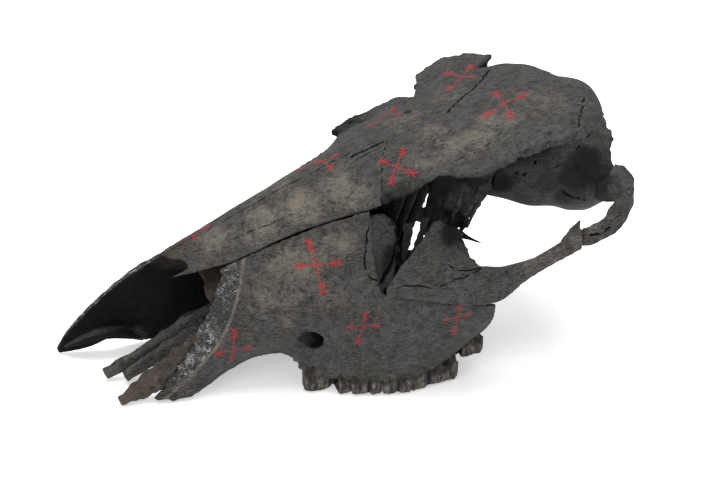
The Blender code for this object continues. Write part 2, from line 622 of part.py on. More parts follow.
def main():
    for obj in list(bpy.data.objects):
        bpy.data.objects.remove(obj)
    made = []
    for side, word in ((1, "left"), (-1, "right")):
        holes = infraorbital_hole() + (worn_tunnel() if side < 0 else [])
        made.append(bone(f"nasal_{word}", nasal(side), side, GREY))
        made.append(bone(f"frontal_{word}", frontal(side), side, GREY, supraorbital_hole() if side < 0 else ()))
        made.append(bone(f"maxilla_{word}", maxilla(side), side, GREY, holes))
        made.append(bone(f"premaxilla_{word}", premaxilla(side), side, BROWN))
        made.append(bone(f"palatine_process_{word}", palatine_process(side), side, DARK))
        made.append(bone(f"zygomatic_{word}", zygomatic(side), side, GREY))
        made.append(bone(f"arch_root_{word}", arch_root(), side, GREY))
        made.append(bone(f"palatine_{word}", palatine(), side, DARK, worn_tunnel() if side < 0 else ()))
        made.append(bone(f"turbinate_{word}", turbinate(), side, BROWN))
        made.append(bone(f"ethmoid_{word}", ethmoid(), side, DARK))
    made.append(bone("braincase", braincase_pieces(), 1, DARK))
    made.append(bone("vomer", vomer(), 1, DARK))
    points = np.concatenate([[v.co for v in obj.data.vertices] for obj in made])
    low, high = points.min(axis=0), points.max(axis=0)
    origin = ((low[0] + high[0]) / 2, (low[1] + high[1]) / 2, low[2])
    for obj in made:
        for vert in obj.data.vertices:
            vert.co = [value - start for value, start in zip(vert.co, origin)]


main()
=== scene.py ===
"""Skull of a young elk without its lower jaw, blackened and weathered, on a pale studio floor.

Shapes are worked out in the skull's own frame, in millimetres: X is the
skull's left, Y runs from the snout to the back of the head and Z is up.
"""

import math

import bpy
import numpy as np
from mathutils import Matrix, Vector


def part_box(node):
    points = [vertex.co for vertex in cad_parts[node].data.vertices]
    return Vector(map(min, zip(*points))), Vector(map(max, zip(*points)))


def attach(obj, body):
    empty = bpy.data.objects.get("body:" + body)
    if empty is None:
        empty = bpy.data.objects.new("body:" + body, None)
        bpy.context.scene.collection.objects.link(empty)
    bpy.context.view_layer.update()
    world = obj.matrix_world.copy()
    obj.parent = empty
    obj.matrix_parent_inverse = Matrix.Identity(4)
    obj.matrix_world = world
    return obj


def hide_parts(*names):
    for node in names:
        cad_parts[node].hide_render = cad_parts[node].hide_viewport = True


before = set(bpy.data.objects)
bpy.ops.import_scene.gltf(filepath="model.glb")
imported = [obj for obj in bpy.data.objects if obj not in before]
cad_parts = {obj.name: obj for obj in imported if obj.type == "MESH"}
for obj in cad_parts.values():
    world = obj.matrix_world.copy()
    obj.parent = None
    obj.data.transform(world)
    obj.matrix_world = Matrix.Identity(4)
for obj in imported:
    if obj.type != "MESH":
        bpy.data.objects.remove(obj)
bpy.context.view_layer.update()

bl_info = {
    "name": "Young Elk Skull",
    "version": (1, 0, 0),
    "blender": (4, 5, 0),
    "location": "3D View > Sidebar > Skull",
    "description": "Builds a weathered young elk skull bone by bone",
    "category": "Add Mesh",
}

MM = 0.001
VOMER_FRONT_Y = 88.0      # front of the vomer in the skull's frame, which ties that frame to the model's
SEAM = 0.3                # space between two bones that meet

# Camera, as azimuth, elevation and roll in degrees about a point inside the skull
CAMERA_AZIMUTH, CAMERA_ELEVATION, CAMERA_ROLL = 73.998, 29.539, 0.912
CAMERA_AIM = (0.0, 180.0, 50.0)
CAMERA_OFFSET = (0.98, -18.4)
CAMERA_DISTANCE = 1000.105
SENSOR_WIDTH = 36
NEAR_CLIP = 0.05

# Stage: lights as name, place, aim and size in metres, with places in the skull's frame
KEY_LIGHT = ("overhead_light", (-150, 120, 1150), (0, 180, 60), 1.1)
FILL_LIGHT = ("fill_light", (900, -700, 700), (0, 160, 60), 0.9)
WORLD_STRENGTH = 0.62
FLOOR_SIZE, FLOOR_DROP = 8, 0.0002
# The floor glows: painted light that washes out its shadows and lights the skull from below
FLOOR_GLOW = 0.4

# Finishes
BONE_SPECULAR, TOOTH_SPECULAR = 0.1, 0.14
# Bones of the deep kind are mixed towards near black: painted shade, for bones that sit deep inside the nose
BONE_KINDS = {"sooty_bone": (0.0, 0.0), "deep_shaded_bone": (0.45, 0.0), "umber_bone": (0.0, 0.85)}    # darkness and warmth

# Making of the meshes, in millimetres where it is a length
RELAX_ROUNDS = 2
BAR_SIDES, BAR_STEP = 20, 1.6
WAVE_SIZE, WAVE_STEP = 0.9, 1.5
REFINED_REACHES = (3.0, 1.6)    # how far round paint and cracks the faces are split, once for each

# Rails of the left side, each a line of (x, y, z) points from front to back
NASAL_TIP_Y, NASAL_END_Y, CORONAL_Y, CREST_Y, TOP_Z = 62.0, 195.0, 272.0, 316.0, 150.0
MIDLINE = [(0, NASAL_TIP_Y, 78.3), (0, 104.9, 98.5), (0, 142.8, 116.6), (0, 173, 129.4), (0, NASAL_END_Y, 137)]
NASAL_CROWN = [(8, 67, 77.6), (9, 104, 96.4), (11, 141, 113.8), (14, 172, 126.8), (17, 186, 133.2)]
NASAL_SHOULDER = [(13, 71, 73.8), (17, 103, 90), (22, 138, 106.6), (29, 172, 121), (33, 181, 126.4)]
NASAL_SEAM = [(15.8, 63.3, 71.6), (23.8, 102.4, 83.4), (30.8, 135.2, 99.4), (41.8, 172.1, 114.8), (45.5, 177.5, 119)]

FRONTAL_MID = [(0, NASAL_END_Y, 137), (0, 220, 142), (0, 248, 146.4), (0, CORONAL_Y, 149.4)]
FRONTAL_INNER = [(17, 186, 133.6), (18, 216, 140.4), (20, 246, 145.2), (21, CORONAL_Y, 149)]
FRONTAL_OUTER = [(33, 181, 127), (35, 212, 136.6), (37, 243, 143.2), (37, CORONAL_Y, 148)]
FRONTAL_EDGE = [(45.5, 177.5, 119), (46.2, 187, 123), (46, 197, 126), (45, 204, 130.4), (47.5, 212, 134.6),
                (51.5, 225, 134.2), (52, 238, 138), (49.5, 252, 143), (46.5, CORONAL_Y, 146.4)]
FRONTAL_EDGE_RIGHT = FRONTAL_EDGE[:6] + [(55, 238, 138.5), (60, 252, 142.5), (62, CORONAL_Y, 145.4)]

PARIETAL_MID = [(0, CORONAL_Y, 149.4), (0, 295, 151), (0, CREST_Y, TOP_Z)]
PARIETAL_INNER = [(21, CORONAL_Y, 149), (21, 292, 150.6), (17, 310, 149.4)]
PARIETAL_OUTER = [(37, CORONAL_Y, 148), (35, 287, 148.6), (30, 301, 148)]
PARIETAL_EDGE = [(46.5, CORONAL_Y, 146.4), (44, 284, 146.6), (39, 293, 145.6)]
PARIETAL_OUTER_RIGHT = [(37, CORONAL_Y, 148), (41, 290, 149.4), (33, 307, 149)]
PARIETAL_EDGE_RIGHT = [(61.5, CORONAL_Y, 145.4), (62, 287, 146.2), (54, 299, 147.4), (42, 306, 147.6)]

CHEEK_UPPER_SEAM = [(23.8, 102.4, 83.4), (30.8, 135.2, 99.4), (41.8, 172.1, 114.8)]
CHEEK_UPPER_MID = [(28.5, 97, 60), (38, 131, 79), (47, 173, 94)]
CHEEK_LINE = [(32.5, 88, 40), (38, 108, 50), (45, 135, 60), (52, 158, 66), (59, 175, 68.5)]
CHEEK_LINE_BACK = [(59, 175, 68.5), (64, 195, 66), (69, 212, 64), (73.5, 228, 63), (75, 238, 62)]
CHEEK_LOWER_MID = [(34.5, 70, 19), (36, 98, 30), (43, 135, 38), (57, 172, 45), (66, 205, 44), (68, 226, 44),
                   (66, 239, 46)]
TOOTH_EDGE = [(34, 50, 0.8), (35, 67, 1), (28, 92, 11), (26, 110, 17), (29, 126, 17.6), (39, 133.5, 10.5),
              (51.5, 157, 9), (58, 180, 9), (58.5, 195, 9.5), (56, 214, 15), (52.5, 229, 24), (51, 240, 31)]

# Cheek teeth of one side: middle y, length, width, height of the crown tip, lobes
CHEEK_TEETH = [
    (142.5, 18.0, 12.0, 0.0, 1),
    (160.5, 17.5, 14.5, 0.0, 2),
    (178.0, 16.5, 16.0, 0.0, 2),
    (195.5, 18.5, 16.5, 0.0, 2),
    (215.0, 19.0, 16.5, 0.6, 2),
    (232.5, 15.0, 15.0, 14.0, 2),
]
TOOTH_OUTER_X = ((129, 137, 150, 160, 178, 190, 204, 215, 233, 245), (36, 42, 49, 54, 58.5, 60, 58, 56, 52, 50))
JAW_DEPTH = 19.0
JAW_SECTIONS = [
    (131, 16, 36, 28, 38), (137, 11.5, 41, 30, 42), (157, 9.5, 48.5, 34, 46), (180, 9.5, 56, 36, 50),
    (196, 10, 60.5, 38, 52), (214, 15.5, 62, 40, 54), (229, 24, 63.5, 42, 54), (238.5, 33, 62, 45, 52),
]
BRAIN_SECTIONS = [
    # y, top z, (shoulder x, z), (side x, z), (low x, z), (base x, z), base z on the midline
    (247, 136, (24, 134), (33, 120), (26, 108), (12, 100), 99),
    (258, 138, (33, 136), (40, 122), (31, 106), (14, 97), 95),
    (271, 140, (37, 138), (45, 123), (37, 103), (16, 93), 91),
    (284, 145, (39, 143), (47, 124), (42, 104), (19, 92.5), 90),
    (297, 146, (38, 142), (47, 126), (45, 104), (21, 88), 86),
    (307, 146, (33, 140), (44, 127), (44, 106), (23, 87), 85),
    (315, 146, (26, 141), (40, 130), (41, 109), (23, 89), 87),
]
PREMAXILLA_RAILS = [
    [(34.5, 1.5, 3.5), (33, 6.5, 13.5), (30, 14, 24.5), (28, 30, 41.5), (26.5, 47, 55), (24.5, 68, 67.5),
     (22.8, 92, 79), (23.8, 102.4, 83.4)],
    [(35, 1.6, 2.8), (33.5, 9, 11), (31.5, 20, 21), (30.5, 38, 36), (29.5, 62, 50), (28.5, 97, 60)],
    [(35, 1.7, 2.0), (33.5, 10, 7.5), (32, 22, 14), (31.5, 38, 24), (32, 60, 32), (32.5, 88, 40)],
    [(34.5, 2, 1.2), (33.5, 11, 3.5), (32.5, 22, 7), (32.5, 36, 13), (33, 52, 15), (34.5, 70, 19)],
    [(33.5, 2.5, 0.6), (33, 12, 0.8), (32.5, 22, 2.6), (32.5, 35, 6.5), (33.5, 44, 3.4), (34, 50, 0.8)],
]
ARCH_TOP = [(60, 177, 73.5), (63.5, 194, 80), (66.5, 211, 84), (69, 227, 86), (70.5, 241, 84.5), (70.5, 257, 87),
            (69.5, 271, 92.5), (68.4, 287.4, 101.5)]
ARCH_LOW = [(60, 177, 69.6), (65, 195, 67), (70, 212, 65), (74, 228, 64), (75.3, 239, 66), (73.5, 252, 75.5),
            (71.5, 265, 81), (68.4, 287.4, 89.5)]
NOSE_AXIS = ((0, 60, 100, 130), (10, 35, 50, 60))  # height of the middle of the nasal cavity along Y

# Dark seams, slits and cracks on the bones: points, width and depth
CRACKS = {
    "roof_slit": ([(4.2, 172, 128.4), (3.5, 178.6, 131.1), (3.6, 185, 133.5), (4, 190.7, 135.5)], 0.9, 1.0),
    "roof_slit_low": ([(9.1, 173, 128.2), (8.2, 180.2, 131.3), (8, 187.2, 134.1)], 0.6, 0.6),
    "cheekbone_upper": ([(63.9, 211.8, 86), (69.5, 216.3, 85.3), (70.7, 221.7, 85.2), (71.3, 227.3, 86)], 0.55, 0.5),
    "cheekbone_lower": ([(63.4, 181.6, 75.3), (64.9, 187.5, 76.6), (66.4, 193.3, 77.3), (68.2, 198.6, 75.6),
                         (69.2, 202.3, 75),
                         (70.1, 207.8, 77.3), (70.8, 213.3, 79.5), (71.3, 220.5, 82.6), (71.4, 228.4, 86)], 0.55, 0.5),
    "squamous": ([(28.7, 308.6, 143.4), (39.6, 298.2, 142.3), (42, 291.1, 136.8), (44.6, 281.5, 131.1),
                  (44, 270.4, 122.8)],
                 0.5, 0.4),
    "arch": ([(70.1, 291.9, 98), (70, 298.1, 97.1), (68.8, 304.9, 100)], 0.9, 1.0),
    "recess": ([(43.5, 172.3, 107.5), (44.3, 169.9, 100.1), (46.3, 168.4, 91.9), (49.3, 168.2, 83.9),
                (52.7, 170.2, 77.9),
                (54.7, 173.2, 76)], 0.6, 0.5),
    "between_nasals": ([(0, 60, 77.5), (0, 104.9, 98.5), (0, 142.8, 116.6), (0, 173, 129.4), (0, 190, 135.6)],
                       0.45, 0.5),
    "nasal_ends": ([(0, 195, 137), (17, 186, 133.3), (33, 181, 126.6), (45.5, 177.5, 119)], 0.4, 0.35),
    "brow_groove": ([(-8.8, 232, 143.7), (-22.4, 245.6, 145), (-38.5, 262.2, 146.3), (-57, 275, 146.1)], 0.8, 0.7),
    "crescent": ([(45.6, 178.4, 117.2), (39.1, 188.8, 99.1), (41.8, 187.9, 82.7), (46.5, 182.5, 77.1),
                  (52, 176.3, 72.7)],
                 1.7, 1.6),
    "crest": ([(1.3, 311.9, 150.2), (19.4, 303.3, 149.8), (30.9, 297, 148.3), (39.2, 292.7, 145.2)], 0.6, 0.6),
    "fossa_arc": ([(44, 262, 138), (42, 266.5, 134.5), (40.8, 268.6, 131.4), (41.5, 265.8, 125.8), (41, 261, 124.5)],
                  0.9, 1.2),
    "fossa_slit": ([(45.3, 281, 114.5), (45.3, 283.3, 112.9), (45.6, 290, 109), (45.4, 298.3, 105.9)], 0.8, 1.4),
    "brow_scratch": ([(26.3, 254.6, 146.1), (38, 236, 141.5), (39.1, 221.2, 137.7)], 0.35, 0.3),
    "nasal_scratch": ([(14.1, 98.9, 90.1), (17.2, 115.5, 97.2), (21.3, 137.5, 106.7), (23.9, 154.1, 113.5)], 0.3, 0.15),
}

# Painted staves: centre, then the ends of its four arms
STAVES = [
    ((40.7, 141.8, 82.9), (34.2, 138.9, 95.7), (46, 144.5, 67.4), (37, 131.3, 81.6), (44.2, 154.6, 85)),
    ((54.8, 165.5, 47.7), (55.5, 166.9, 56.6), (53.5, 162.5, 35.3), (51.4, 157.1, 46.3), (57.8, 174, 48.9)),
    ((69.2, 216.1, 54), (71.8, 216.5, 64.5), (66.6, 215.1, 41.9), (67.4, 208.5, 52.7), (70.9, 223, 56.6)),
    ((35.8, 94.7, 31), (33.6, 96, 44.2), (34.6, 93.6, 23.7), (34.7, 83.9, 29.4), (36.9, 104.3, 32.2)),
    ((28.4, 190.6, 131.8), (16.3, 198.8, 136.7), (37.2, 184.7, 126.4), (19.1, 184.1, 131.8), (37.7, 198.8, 131.1)),
    ((-3, 264.4, 148.4), (-21, 264.7, 147.9), (15.6, 261.9, 147.8), (6.3, 248.5, 146.2), (-8.2, 280.3, 150)),
    ((-53, 255.9, 143.9), (-67.4, 267.1, 144.4), (-40, 242.3, 142.6), (-67, 249.8, 141.8), (-49.4, 262.8, 145.4)),
    ((-31.5, 201, 134), (-40.3, 210.4, 135), (-23.7, 189.2, 132.8), (-40, 196, 130.5), (-24.6, 208.7, 137.8)),
    ((-7.8, 157.6, 121.8), (-15.3, 143, 112.8), (-6.2, 166.6, 125.9), (5.1, 160.1, 123.4), (-17, 155, 118)),
    ((-5, 80, 87), (-6, 72, 83), (-4.5, 90, 91.5), (1.5, 81, 87.5), (-10, 79, 84)),
]
STAVE_STRENGTHS = (1.0, 0.62, 0.58, 0.62, 0.9, 1.0, 0.9, 0.7, 0.8, 0.7)


# Surfaces through rails

def along(points, ts):
    """Points of a smooth curve through the given points, at fractions ts of its length."""
    p = np.array(points, float)
    steps = np.linalg.norm(np.diff(p, axis=0), axis=1)
    knots = np.concatenate([[0], np.cumsum(steps)]) / steps.sum()
    slope = np.gradient(p, knots, axis=0, edge_order=1)
    ts = np.clip(np.asarray(ts, float), 0, 1)
    k = np.clip(np.searchsorted(knots, ts, side="right") - 1, 0, len(p) - 2)
    span = (knots[k + 1] - knots[k])[:, None]
    s = ((ts - knots[k])[:, None]) / span
    h00, h10 = 2 * s**3 - 3 * s**2 + 1, s**3 - 2 * s**2 + s
    h01, h11 = -2 * s**3 + 3 * s**2, s**3 - s**2
    return h00 * p[k] + h10 * span * slope[k] + h01 * p[k + 1] + h11 * span * slope[k + 1]


def patch(rails, nu, nv):
    """Grid of points over a surface that passes through the rails."""
    us = np.linspace(0, 1, nu)
    lines = np.stack([along(rail, us) for rail in rails])
    return np.stack([along(lines[:, i], np.linspace(0, 1, nv)) for i in range(nu)])


def pulled_in(grid, u0=0.0, u1=0.0, v0=0.0, v1=0.0):
    """The grid with its borders moved inwards by so many millimetres, a number or one for each point."""
    g = grid.copy()
    for row, nxt, d in ((0, 1, u0), (-1, -2, u1)):
        step = g[nxt] - g[row]
        d = np.broadcast_to(d, (len(step),))[:, None]
        g[row] += step * (d / np.maximum(np.linalg.norm(step, axis=1, keepdims=True), 1e-6))
    for col, nxt, d in ((0, 1, v0), (-1, -2, v1)):
        step = g[:, nxt] - g[:, col]
        d = np.broadcast_to(d, (len(step),))[:, None]
        g[:, col] += step * (d / np.maximum(np.linalg.norm(step, axis=1, keepdims=True), 1e-6))
    return g


def eaten(grid, start):
    """The grid squeezed along its length, so that it starts at the given fraction in each column."""
    nu, nv = grid.shape[:2]
    t = np.linspace(0, 1, nu)
    out = np.empty_like(grid)
    for j in range(nv):
        at = start[j] + (1 - start[j]) * t
        for c in range(3):
            out[:, j, c] = np.interp(at, t, grid[:, j, c])
    return out


def to_nose_axis(points):
    """Unit vectors towards a line through the nasal cavity, with no part along Y."""
    axis_z = np.interp(points[..., 1], *NOSE_AXIS)
    d = np.stack([-points[..., 0], np.zeros(points.shape[:-1]), axis_z - points[..., 2]], axis=-1)
    return d / np.maximum(np.linalg.norm(d, axis=-1, keepdims=True), 1e-9)


def straight(x, y, z):
    def direction(points):
        d = np.array([x, y, z], float)
        return np.broadcast_to(d / np.linalg.norm(d), points.shape)
    return direction


def face_normals(grid):
    n = np.cross(np.gradient(grid, axis=0), np.gradient(grid, axis=1))
    return n / np.maximum(np.linalg.norm(n, axis=2, keepdims=True), 1e-9)


def smooth_step(x, low, high):
    t = np.clip((np.asarray(x, float) - low) / (high - low), 0, 1)
    return t * t * (3 - 2 * t)


def ragged(values, size, pitch, phase=0.0):
    """Irregular but fixed zigzag for a broken or serrated margin."""
    v = np.asarray(values, float)
    return size * (np.sin(v / pitch + phase) + 0.6 * np.sin(2.3 * v / pitch + 1.7 + phase)
                   + 0.4 * np.sin(5.1 * v / pitch + 0.4 - phase)) / 1.6


def grain(points, size, seed=0):
    """Smooth noise from -1 to 1 over points, with features about as large as size."""
    p = np.asarray(points, float) / size + seed * 17.31
    base = np.floor(p).astype(np.int64)
    f = p - base
    f = f * f * (3 - 2 * f)
    total = np.zeros(len(p))
    for corner in range(8):
        step = np.array([corner & 1, corner >> 1 & 1, corner >> 2 & 1])
        cell = base + step
        key = (cell[:, 0] * 73856093 ^ cell[:, 1] * 19349663 ^ cell[:, 2] * 83492791) + seed * 2654435
        key = (key ^ key >> 13) * 1274126177 & 0x7FFFFFFF
        key = (key ^ key >> 16) & 0xFFFF
        weight = np.prod(np.where(step == 1, f, 1 - f), axis=1)
        total += weight * (key / 32767.5 - 1)
    return total


# Making and joining shells

def skull_shift():
    low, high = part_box("vomer")
    return np.array([(low[0] + high[0]) / 2 / MM, low[1] / MM - VOMER_FRONT_Y, 0.0])


SHIFT = skull_shift()


def to_model(points):
    return (np.asarray(points, float) + SHIFT) * MM


def to_skull(points):
    return np.asarray(points, float) / MM - SHIFT


def alone(obj):
    bpy.ops.object.select_all(action="DESELECT")
    obj.select_set(True)
    bpy.context.view_layer.objects.active = obj


def sheet(grid, side=1):
    """Grid primitive laid over a surface: its rows run along the bone and its columns across it."""
    nu, nv = grid.shape[:2]
    bpy.ops.object.select_all(action="DESELECT")
    bpy.ops.mesh.primitive_grid_add(x_subdivisions=nv - 1, y_subdivisions=nu - 1, size=2)
    obj = bpy.context.object
    co = np.empty(len(obj.data.vertices) * 3)
    obj.data.vertices.foreach_get("co", co)
    co = co.reshape(-1, 3)
    col = np.rint((co[:, 0] + 1) / 2 * (nv - 1)).astype(int)
    row = np.rint((co[:, 1] + 1) / 2 * (nu - 1)).astype(int)
    place = to_model(grid[row, col] * (side, 1, 1))
    obj.data.vertices.foreach_set("co", place.ravel())
    attribute = obj.data.attributes.new("place", "INT", "POINT")
    attribute.data.foreach_set("value", row * nv + col)
    obj.data.update()
    return obj


def plate(grid, wall, direction=None, side=1):
    """Closed plate: a sheet extruded by the wall's thickness, which may vary over the grid."""
    wall = np.broadcast_to(np.asarray(wall, float), grid.shape[:2])[..., None]
    if direction is None:
        way = face_normals(grid)
        grid = grid - way * wall / 2
    else:
        way = direction(grid)
    under = (grid + way * wall).reshape(-1, 3) * (side, 1, 1)
    obj = sheet(grid, side)
    bpy.ops.object.mode_set(mode="EDIT")
    bpy.ops.mesh.select_all(action="SELECT")
    bpy.ops.mesh.extrude_region_move()
    bpy.ops.object.mode_set(mode="OBJECT")
    mesh = obj.data
    count = len(mesh.vertices)
    picked, place, co = np.empty(count, bool), np.empty(count, np.int32), np.empty(count * 3)
    mesh.vertices.foreach_get("select", picked)
    mesh.attributes["place"].data.foreach_get("value", place)
    mesh.vertices.foreach_get("co", co)
    co = co.reshape(-1, 3)
    co[picked] = to_model(under[place[picked]])
    mesh.vertices.foreach_set("co", co.ravel())
    mesh.update()
    alone(obj)
    bpy.ops.object.mode_set(mode="EDIT")
    bpy.ops.mesh.select_all(action="SELECT")
    bpy.ops.mesh.normals_make_consistent(inside=False)
    bpy.ops.object.mode_set(mode="OBJECT")
    return obj


def tube(rings, side=1):
    """Closed solid through rings of points: a wrapped sheet whose ends are filled."""
    rings = np.array(rings, float)
    obj = sheet(np.concatenate([rings, rings[:, :1]], axis=1), side)
    alone(obj)
    bpy.ops.object.mode_set(mode="EDIT")
    bpy.ops.mesh.select_all(action="SELECT")
    bpy.ops.mesh.remove_doubles(threshold=1e-6)
    bpy.ops.mesh.fill_holes(sides=0)
    bpy.ops.mesh.select_all(action="SELECT")
    bpy.ops.mesh.normals_make_consistent(inside=False)
    bpy.ops.object.mode_set(mode="OBJECT")
    return obj


def ellipse_ring(centre, axis_a, axis_b, sides, squareness=2.0):
    """Ring of points on an ellipse, or on a squarer one where squareness is over 2."""
    angles = np.arange(sides) * 2 * math.pi / sides
    c, s = np.cos(angles), np.sin(angles)
    power = 2 / squareness
    c, s = np.sign(c) * abs(c) ** power, np.sign(s) * abs(s) ** power
    return np.array(centre) + np.outer(c, axis_a) + np.outer(s, axis_b)


def bar(path, widths, heights, side=1, up=(0, 0, 1), squareness=2.4, roughen=0.0, seed=0):
    """Closed bar along a smooth path, with widths across it and heights along up."""
    length = np.linalg.norm(np.diff(np.array(path, float), axis=0), axis=1).sum()
    count = max(4, int(length / BAR_STEP))
    ts = np.linspace(0, 1, count)
    centres = along(path, ts)
    knots = np.linspace(0, 1, len(widths))
    w, h = np.interp(ts, knots, widths), np.interp(ts, knots, heights)
    rings = []
    for k, way in enumerate(np.gradient(centres, axis=0)):
        way = way / np.linalg.norm(way)
        across = np.cross(way, up)
        across /= np.linalg.norm(across)
        ring = ellipse_ring(centres[k], across * w[k] / 2, np.cross(across, way) * h[k] / 2, BAR_SIDES, squareness)
        if roughen:
            ring += (ring - centres[k]) * (grain(ring, 4.0, seed) * roughen)[:, None]
        rings.append(ring)
    return tube(rings, side)


def apply_modifiers(obj):
    alone(obj)
    for modifier in list(obj.modifiers):
        bpy.ops.object.modifier_apply(modifier=modifier.name)


def add_skin(obj, voxel):
    """A live modifier that wraps one closed skin of small faces round the object."""
    remesh = obj.modifiers.new("skin", "REMESH")
    remesh.mode = "VOXEL"
    remesh.voxel_size = voxel * MM


def fused(name, shells, voxel, cutters=()):
    """One skin round all the shells, with the cutters' shapes taken out of it."""
    voxel = voxel * 1.0
    bpy.ops.object.select_all(action="DESELECT")
    for shell in shells:
        shell.select_set(True)
    bpy.context.view_layer.objects.active = shells[0]
    bpy.ops.object.join()
    obj = bpy.context.object
    obj.name = name
    obj.data.name = name
    add_skin(obj, voxel)
    apply_modifiers(obj)
    for cutter in cutters:
        cut = obj.modifiers.new("hole", "BOOLEAN")
        cut.operation = "DIFFERENCE"
        cut.object = cutter
        cut.solver = "MANIFOLD"
        apply_modifiers(obj)
        bpy.data.objects.remove(cutter)
    if cutters:
        add_skin(obj, voxel)
    relax = obj.modifiers.new("relax", "SMOOTH")
    relax.factor = 0.5
    relax.iterations = RELAX_ROUNDS
    apply_modifiers(obj)
    return obj


def line_distance(points, line):
    """Distance of each point from a polyline."""
    line = np.array(line, float)
    best = np.full(len(points), 1e9)
    for a, b in zip(line[:-1], line[1:]):
        ab = b - a
        t = np.clip(((points - a) @ ab) / (ab @ ab), 0, 1)
        best = np.minimum(best, np.linalg.norm(points - a - t[:, None] * ab, axis=1))
    return best


def wavy(line):
    """A polyline resampled finely and shaken, as the edge of a bone seam is."""
    length = np.linalg.norm(np.diff(np.array(line, float), axis=0), axis=1).sum()
    fine = along(line, np.linspace(0, 1, max(3, int(length / WAVE_STEP))))
    for axis in range(3):
        fine[:, axis] += grain(fine + 31.7 * axis, 3.0) * WAVE_SIZE
    return fine


class Skin:
    """Points and normals of a bone in the skull's frame, with the masks that its material reads."""

    def __init__(self, obj):
        self.obj = obj
        self.read()

    def read(self):
        mesh = self.obj.data
        co = np.empty(len(mesh.vertices) * 3)
        mesh.vertices.foreach_get("co", co)
        self.co = to_skull(co.reshape(-1, 3))
        normals = np.empty(len(mesh.vertices) * 3)
        mesh.vertex_normals.foreach_get("vector", normals)
        self.normal = normals.reshape(-1, 3)

    def push(self, amount):
        """Moves every point along its normal by so many millimetres."""
        self.co = self.co + self.normal * np.asarray(amount)[:, None]
        self.obj.data.vertices.foreach_set("co", to_model(self.co).ravel())
        self.obj.data.update()
        self.read()

    def refine(self, near):
        """Splits once every face that has a corner within the mask."""
        if not near.any():
            return
        alone(self.obj)
        mesh = self.obj.data
        mesh.vertices.foreach_set("select", np.zeros(len(mesh.vertices), bool))
        mesh.edges.foreach_set("select", np.zeros(len(mesh.edges), bool))
        ends = np.empty(len(mesh.edges) * 2, np.int32)
        mesh.edges.foreach_get("vertices", ends)
        ends = ends.reshape(-1, 2)
        loops = np.empty(len(mesh.loops), np.int32)
        mesh.loops.foreach_get("vertex_index", loops)
        starts = np.empty(len(mesh.polygons), np.int32)
        mesh.polygons.foreach_get("loop_start", starts)
        chosen = np.logical_or.reduceat(near[loops], starts)
        mesh.polygons.foreach_set("select", chosen)
        inside = np.zeros(len(mesh.vertices), bool)
        sizes = np.diff(np.append(starts, len(loops)))
        inside[loops[np.repeat(chosen, sizes)]] = True
        mesh.vertices.foreach_set("select", inside)
        mesh.edges.foreach_set("select", inside[ends].all(axis=1))
        bpy.ops.object.mode_set(mode="EDIT")
        bpy.ops.mesh.select_mode(type="FACE")
        bpy.ops.mesh.subdivide(number_cuts=1)
        bpy.ops.object.mode_set(mode="OBJECT")
        self.read()

    def mask(self, name, values):
        mesh = self.obj.data
        attribute = mesh.attributes.get(name) or mesh.attributes.new(name, "FLOAT", "POINT")
        attribute.data.foreach_set("value", np.clip(values, 0, 1).astype(np.float32))

    def spots(self, places, seed=0, fray=0.35, soft=0.6):
        """Mask that is 1 inside soft blobs, each (x, y, z, radius, strength), with frayed edges."""
        total = np.zeros(len(self.co))
        if not places:
            return total
        noise = grain(self.co, 7.0, seed) * 0.6 + grain(self.co, 2.5, seed + 3) * 0.4
        for x, y, z, radius, strength in places:
            d = np.linalg.norm(self.co - (x, y, z), axis=1) / radius + noise * fray
            total = np.maximum(total, strength * smooth_step(1.15 - d, 0, soft))
        return total

    def worn_spots(self, places):
        """Spots of worn bone, softer than the others."""
        return self.spots(places, 13, 0.5, 1.15)


def stave_strokes(stave):
    """Centre, face normal and strokes of one painted stave: four arms, each with two bars and a fork."""
    centre, ends = np.array(stave[0], float), np.array(stave[1:], float)
    normal = np.cross(ends[1] - ends[0], ends[3] - ends[2])
    normal /= np.linalg.norm(normal)
    strokes = []
    for end in ends:
        arm = end - centre
        across = np.cross(normal, arm)
        strokes.append((centre, end))
        for at, half in ((0.64, 0.13), (0.77, 0.17)):
            strokes.append((centre + arm * at - across * half, centre + arm * (at + 0.03) + across * half))
        for way in (-1, 1):
            strokes.append((centre + arm * 0.86, centre + arm * 1.04 + across * 0.14 * way))
    return centre, normal, strokes


def paint_distance(points):
    """Distance of each point from the nearest painted stroke, measured in the flat plane of its stave, and how strong
    that stroke is.
    """
    best, strength = np.full(len(points), 99.0), np.zeros(len(points))
    for stave, strong in zip(STAVES, STAVE_STRENGTHS):
        centre, normal, strokes = stave_strokes(stave)
        reach = max(np.linalg.norm(np.array(end) - centre) for end in stave[1:]) * 1.3
        near = np.where(np.linalg.norm(points - centre, axis=1) < reach)[0]
        if not len(near):
            continue
        flat = points[near] - np.outer((points[near] - centre) @ normal, normal)
        for a, b in strokes:
            a = a - normal * ((a - centre) @ normal)
            b = b - normal * ((b - centre) @ normal)
            ab = b - a
            t = np.clip(((flat - a) @ ab) / (ab @ ab), 0, 1)
            best[near] = np.minimum(best[near], np.linalg.norm(flat - a - t[:, None] * ab, axis=1))
        strength[near] = strong
    return best, strength


# Shader maths and materials

